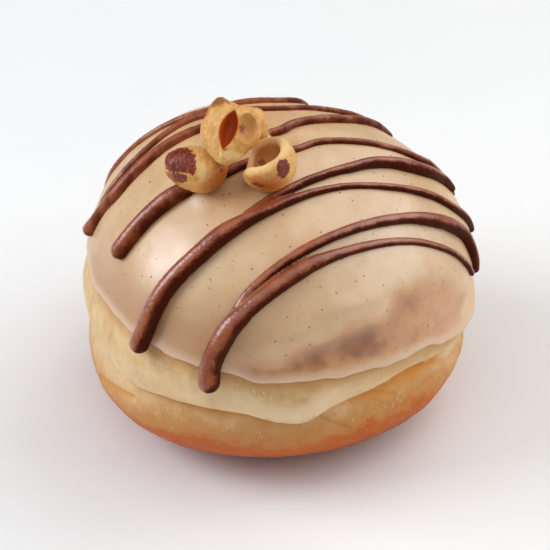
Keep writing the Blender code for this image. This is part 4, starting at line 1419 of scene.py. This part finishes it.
def split_nut():
    azimuth = steps_round(NUT_COLUMNS)
    turn = np.radians(azimuth)
    outline = around(azimuth, SPLIT_NUT_OUTLINE) * MM
    rings = []
    for back in np.radians(np.linspace(-POLE, POLE, NUT_ROWS + 1)):
        depth = SPLIT_NUT_BACK if back > 0 else SPLIT_NUT_FRONT
        across = outline * np.cos(back)
        rings.append(np.stack([across * np.cos(turn), 0 * turn + depth * np.sin(back),
                               across * np.sin(turn)], -1))
    points = placed(np.array(rings), SPLIT_NUT_PLACE, SPLIT_NUT_TURN)
    piece = ring_piece("hazelnut_split", points)
    cutters = [slot_cutter(), hollow_cutter()]
    for cutter in cutters:
        cut = piece.modifiers.new("cut", "BOOLEAN")
        cut.operation = "DIFFERENCE"
        cut.solver = "EXACT"
        cut.object = cutter
    remesh = piece.modifiers.new("even faces", "REMESH")
    remesh.mode = "VOXEL"
    remesh.voxel_size = NUT_CUBE
    remesh.use_smooth_shade = True
    soften = piece.modifiers.new("worn edges", "SMOOTH")
    soften.factor = 0.5
    soften.iterations = 4
    piece = settle(piece)
    for cutter in cutters:
        bpy.data.objects.remove(cutter)
    mark(piece, "cut", cut_faces(points_of(piece)))
    return piece


# %% The kernels in their places, each with the stretch and the seed of its wrinkles
dress_nut(whole_nut(), "nut_whole", (1.6, 0.5, 0.5), 21.0)
dress_nut(back_nut(), "nut_back", (1.6, 0.5, 0.5), 22.0)
dress_nut(cup_nut(), "nut_cup", (1.2, 1.2, 0.5), 23.0)
dress_nut(split_nut(), "nut_split", (1.4, 1.4, 0.5), 24.0)

# %% [markdown]
# ## Floor and light
#
# The doughnut stands on a plain pale floor. A large soft light from the left gives the broad
# highlight on the icing and lets each strand cast a soft shadow to its lower right. Weaker soft
# lights at the right, the back and above light the other sides, and the floor throws some of it
# back up from below.

# %% The floor
FLOOR_HALF = 2.0
FLOOR_SHADE = shade(248, 247, 245)
FLOOR_PATCHES = shade(244, 243, 241)


def make_floor():
    mesh = bpy.data.meshes.new("floor")
    corners = [(-FLOOR_HALF, -FLOOR_HALF, 0), (FLOOR_HALF, -FLOOR_HALF, 0),
               (FLOOR_HALF, FLOOR_HALF, 0), (-FLOOR_HALF, FLOOR_HALF, 0)]
    mesh.from_pydata(corners, [], [(0, 1, 2, 3)])
    floor = add_object("floor", mesh)
    finish = Finish("pale_floor", Roughness=0.7)
    patches = finish.group(CLOUDS, Size=200 * MM, Low=0.3, High=0.7, Seed=30.0)
    finish.feed("Base Color", finish.layers(FLOOR_SHADE, (patches, FLOOR_PATCHES)))
    mesh.materials.append(finish.material)


make_floor()

# %% The lights
LIGHT_DISTANCE = 0.9
WORLD_STRENGTH = 0.08
# Name, azimuth and elevation in degrees, size in m, power in W, and colour
LIGHTS = (("key_light", -176, 34, 0.5, 5.0, (0.94, 1.0, 1.1)),
          ("side_light", -6, 27, 0.7, 3.1, (1, 1, 1)),
          ("back_light", 38, 45, 0.8, 3.4, (1, 1, 1)),
          ("top_light", -108, 69, 1.4, 4.6, (1, 1, 1)))


def soft_light(name, azimuth, elevation, size, power, colour):
    """A square soft light aimed at the doughnut from a direction."""
    lamp = bpy.data.lights.new(name, "AREA")
    lamp.shape = "SQUARE"
    lamp.size = size
    lamp.energy = power
    lamp.color = colour
    light = add_object(name, lamp)
    light.location = VIEW_TARGET + LIGHT_DISTANCE * directions(azimuth, elevation)
    light.rotation_euler = np.radians([90 - elevation, 0, azimuth + 90])


for row in LIGHTS:
    soft_light(*row)
world = bpy.data.worlds.new("studio")
world.use_nodes = True
world.node_tree.nodes["Background"].inputs["Color"].default_value = (1.0, 1.0, 1.0, 1.0)
world.node_tree.nodes["Background"].inputs["Strength"].default_value = WORLD_STRENGTH
bpy.context.scene.world = world
bpy.context.scene.view_settings.view_transform = "Standard"
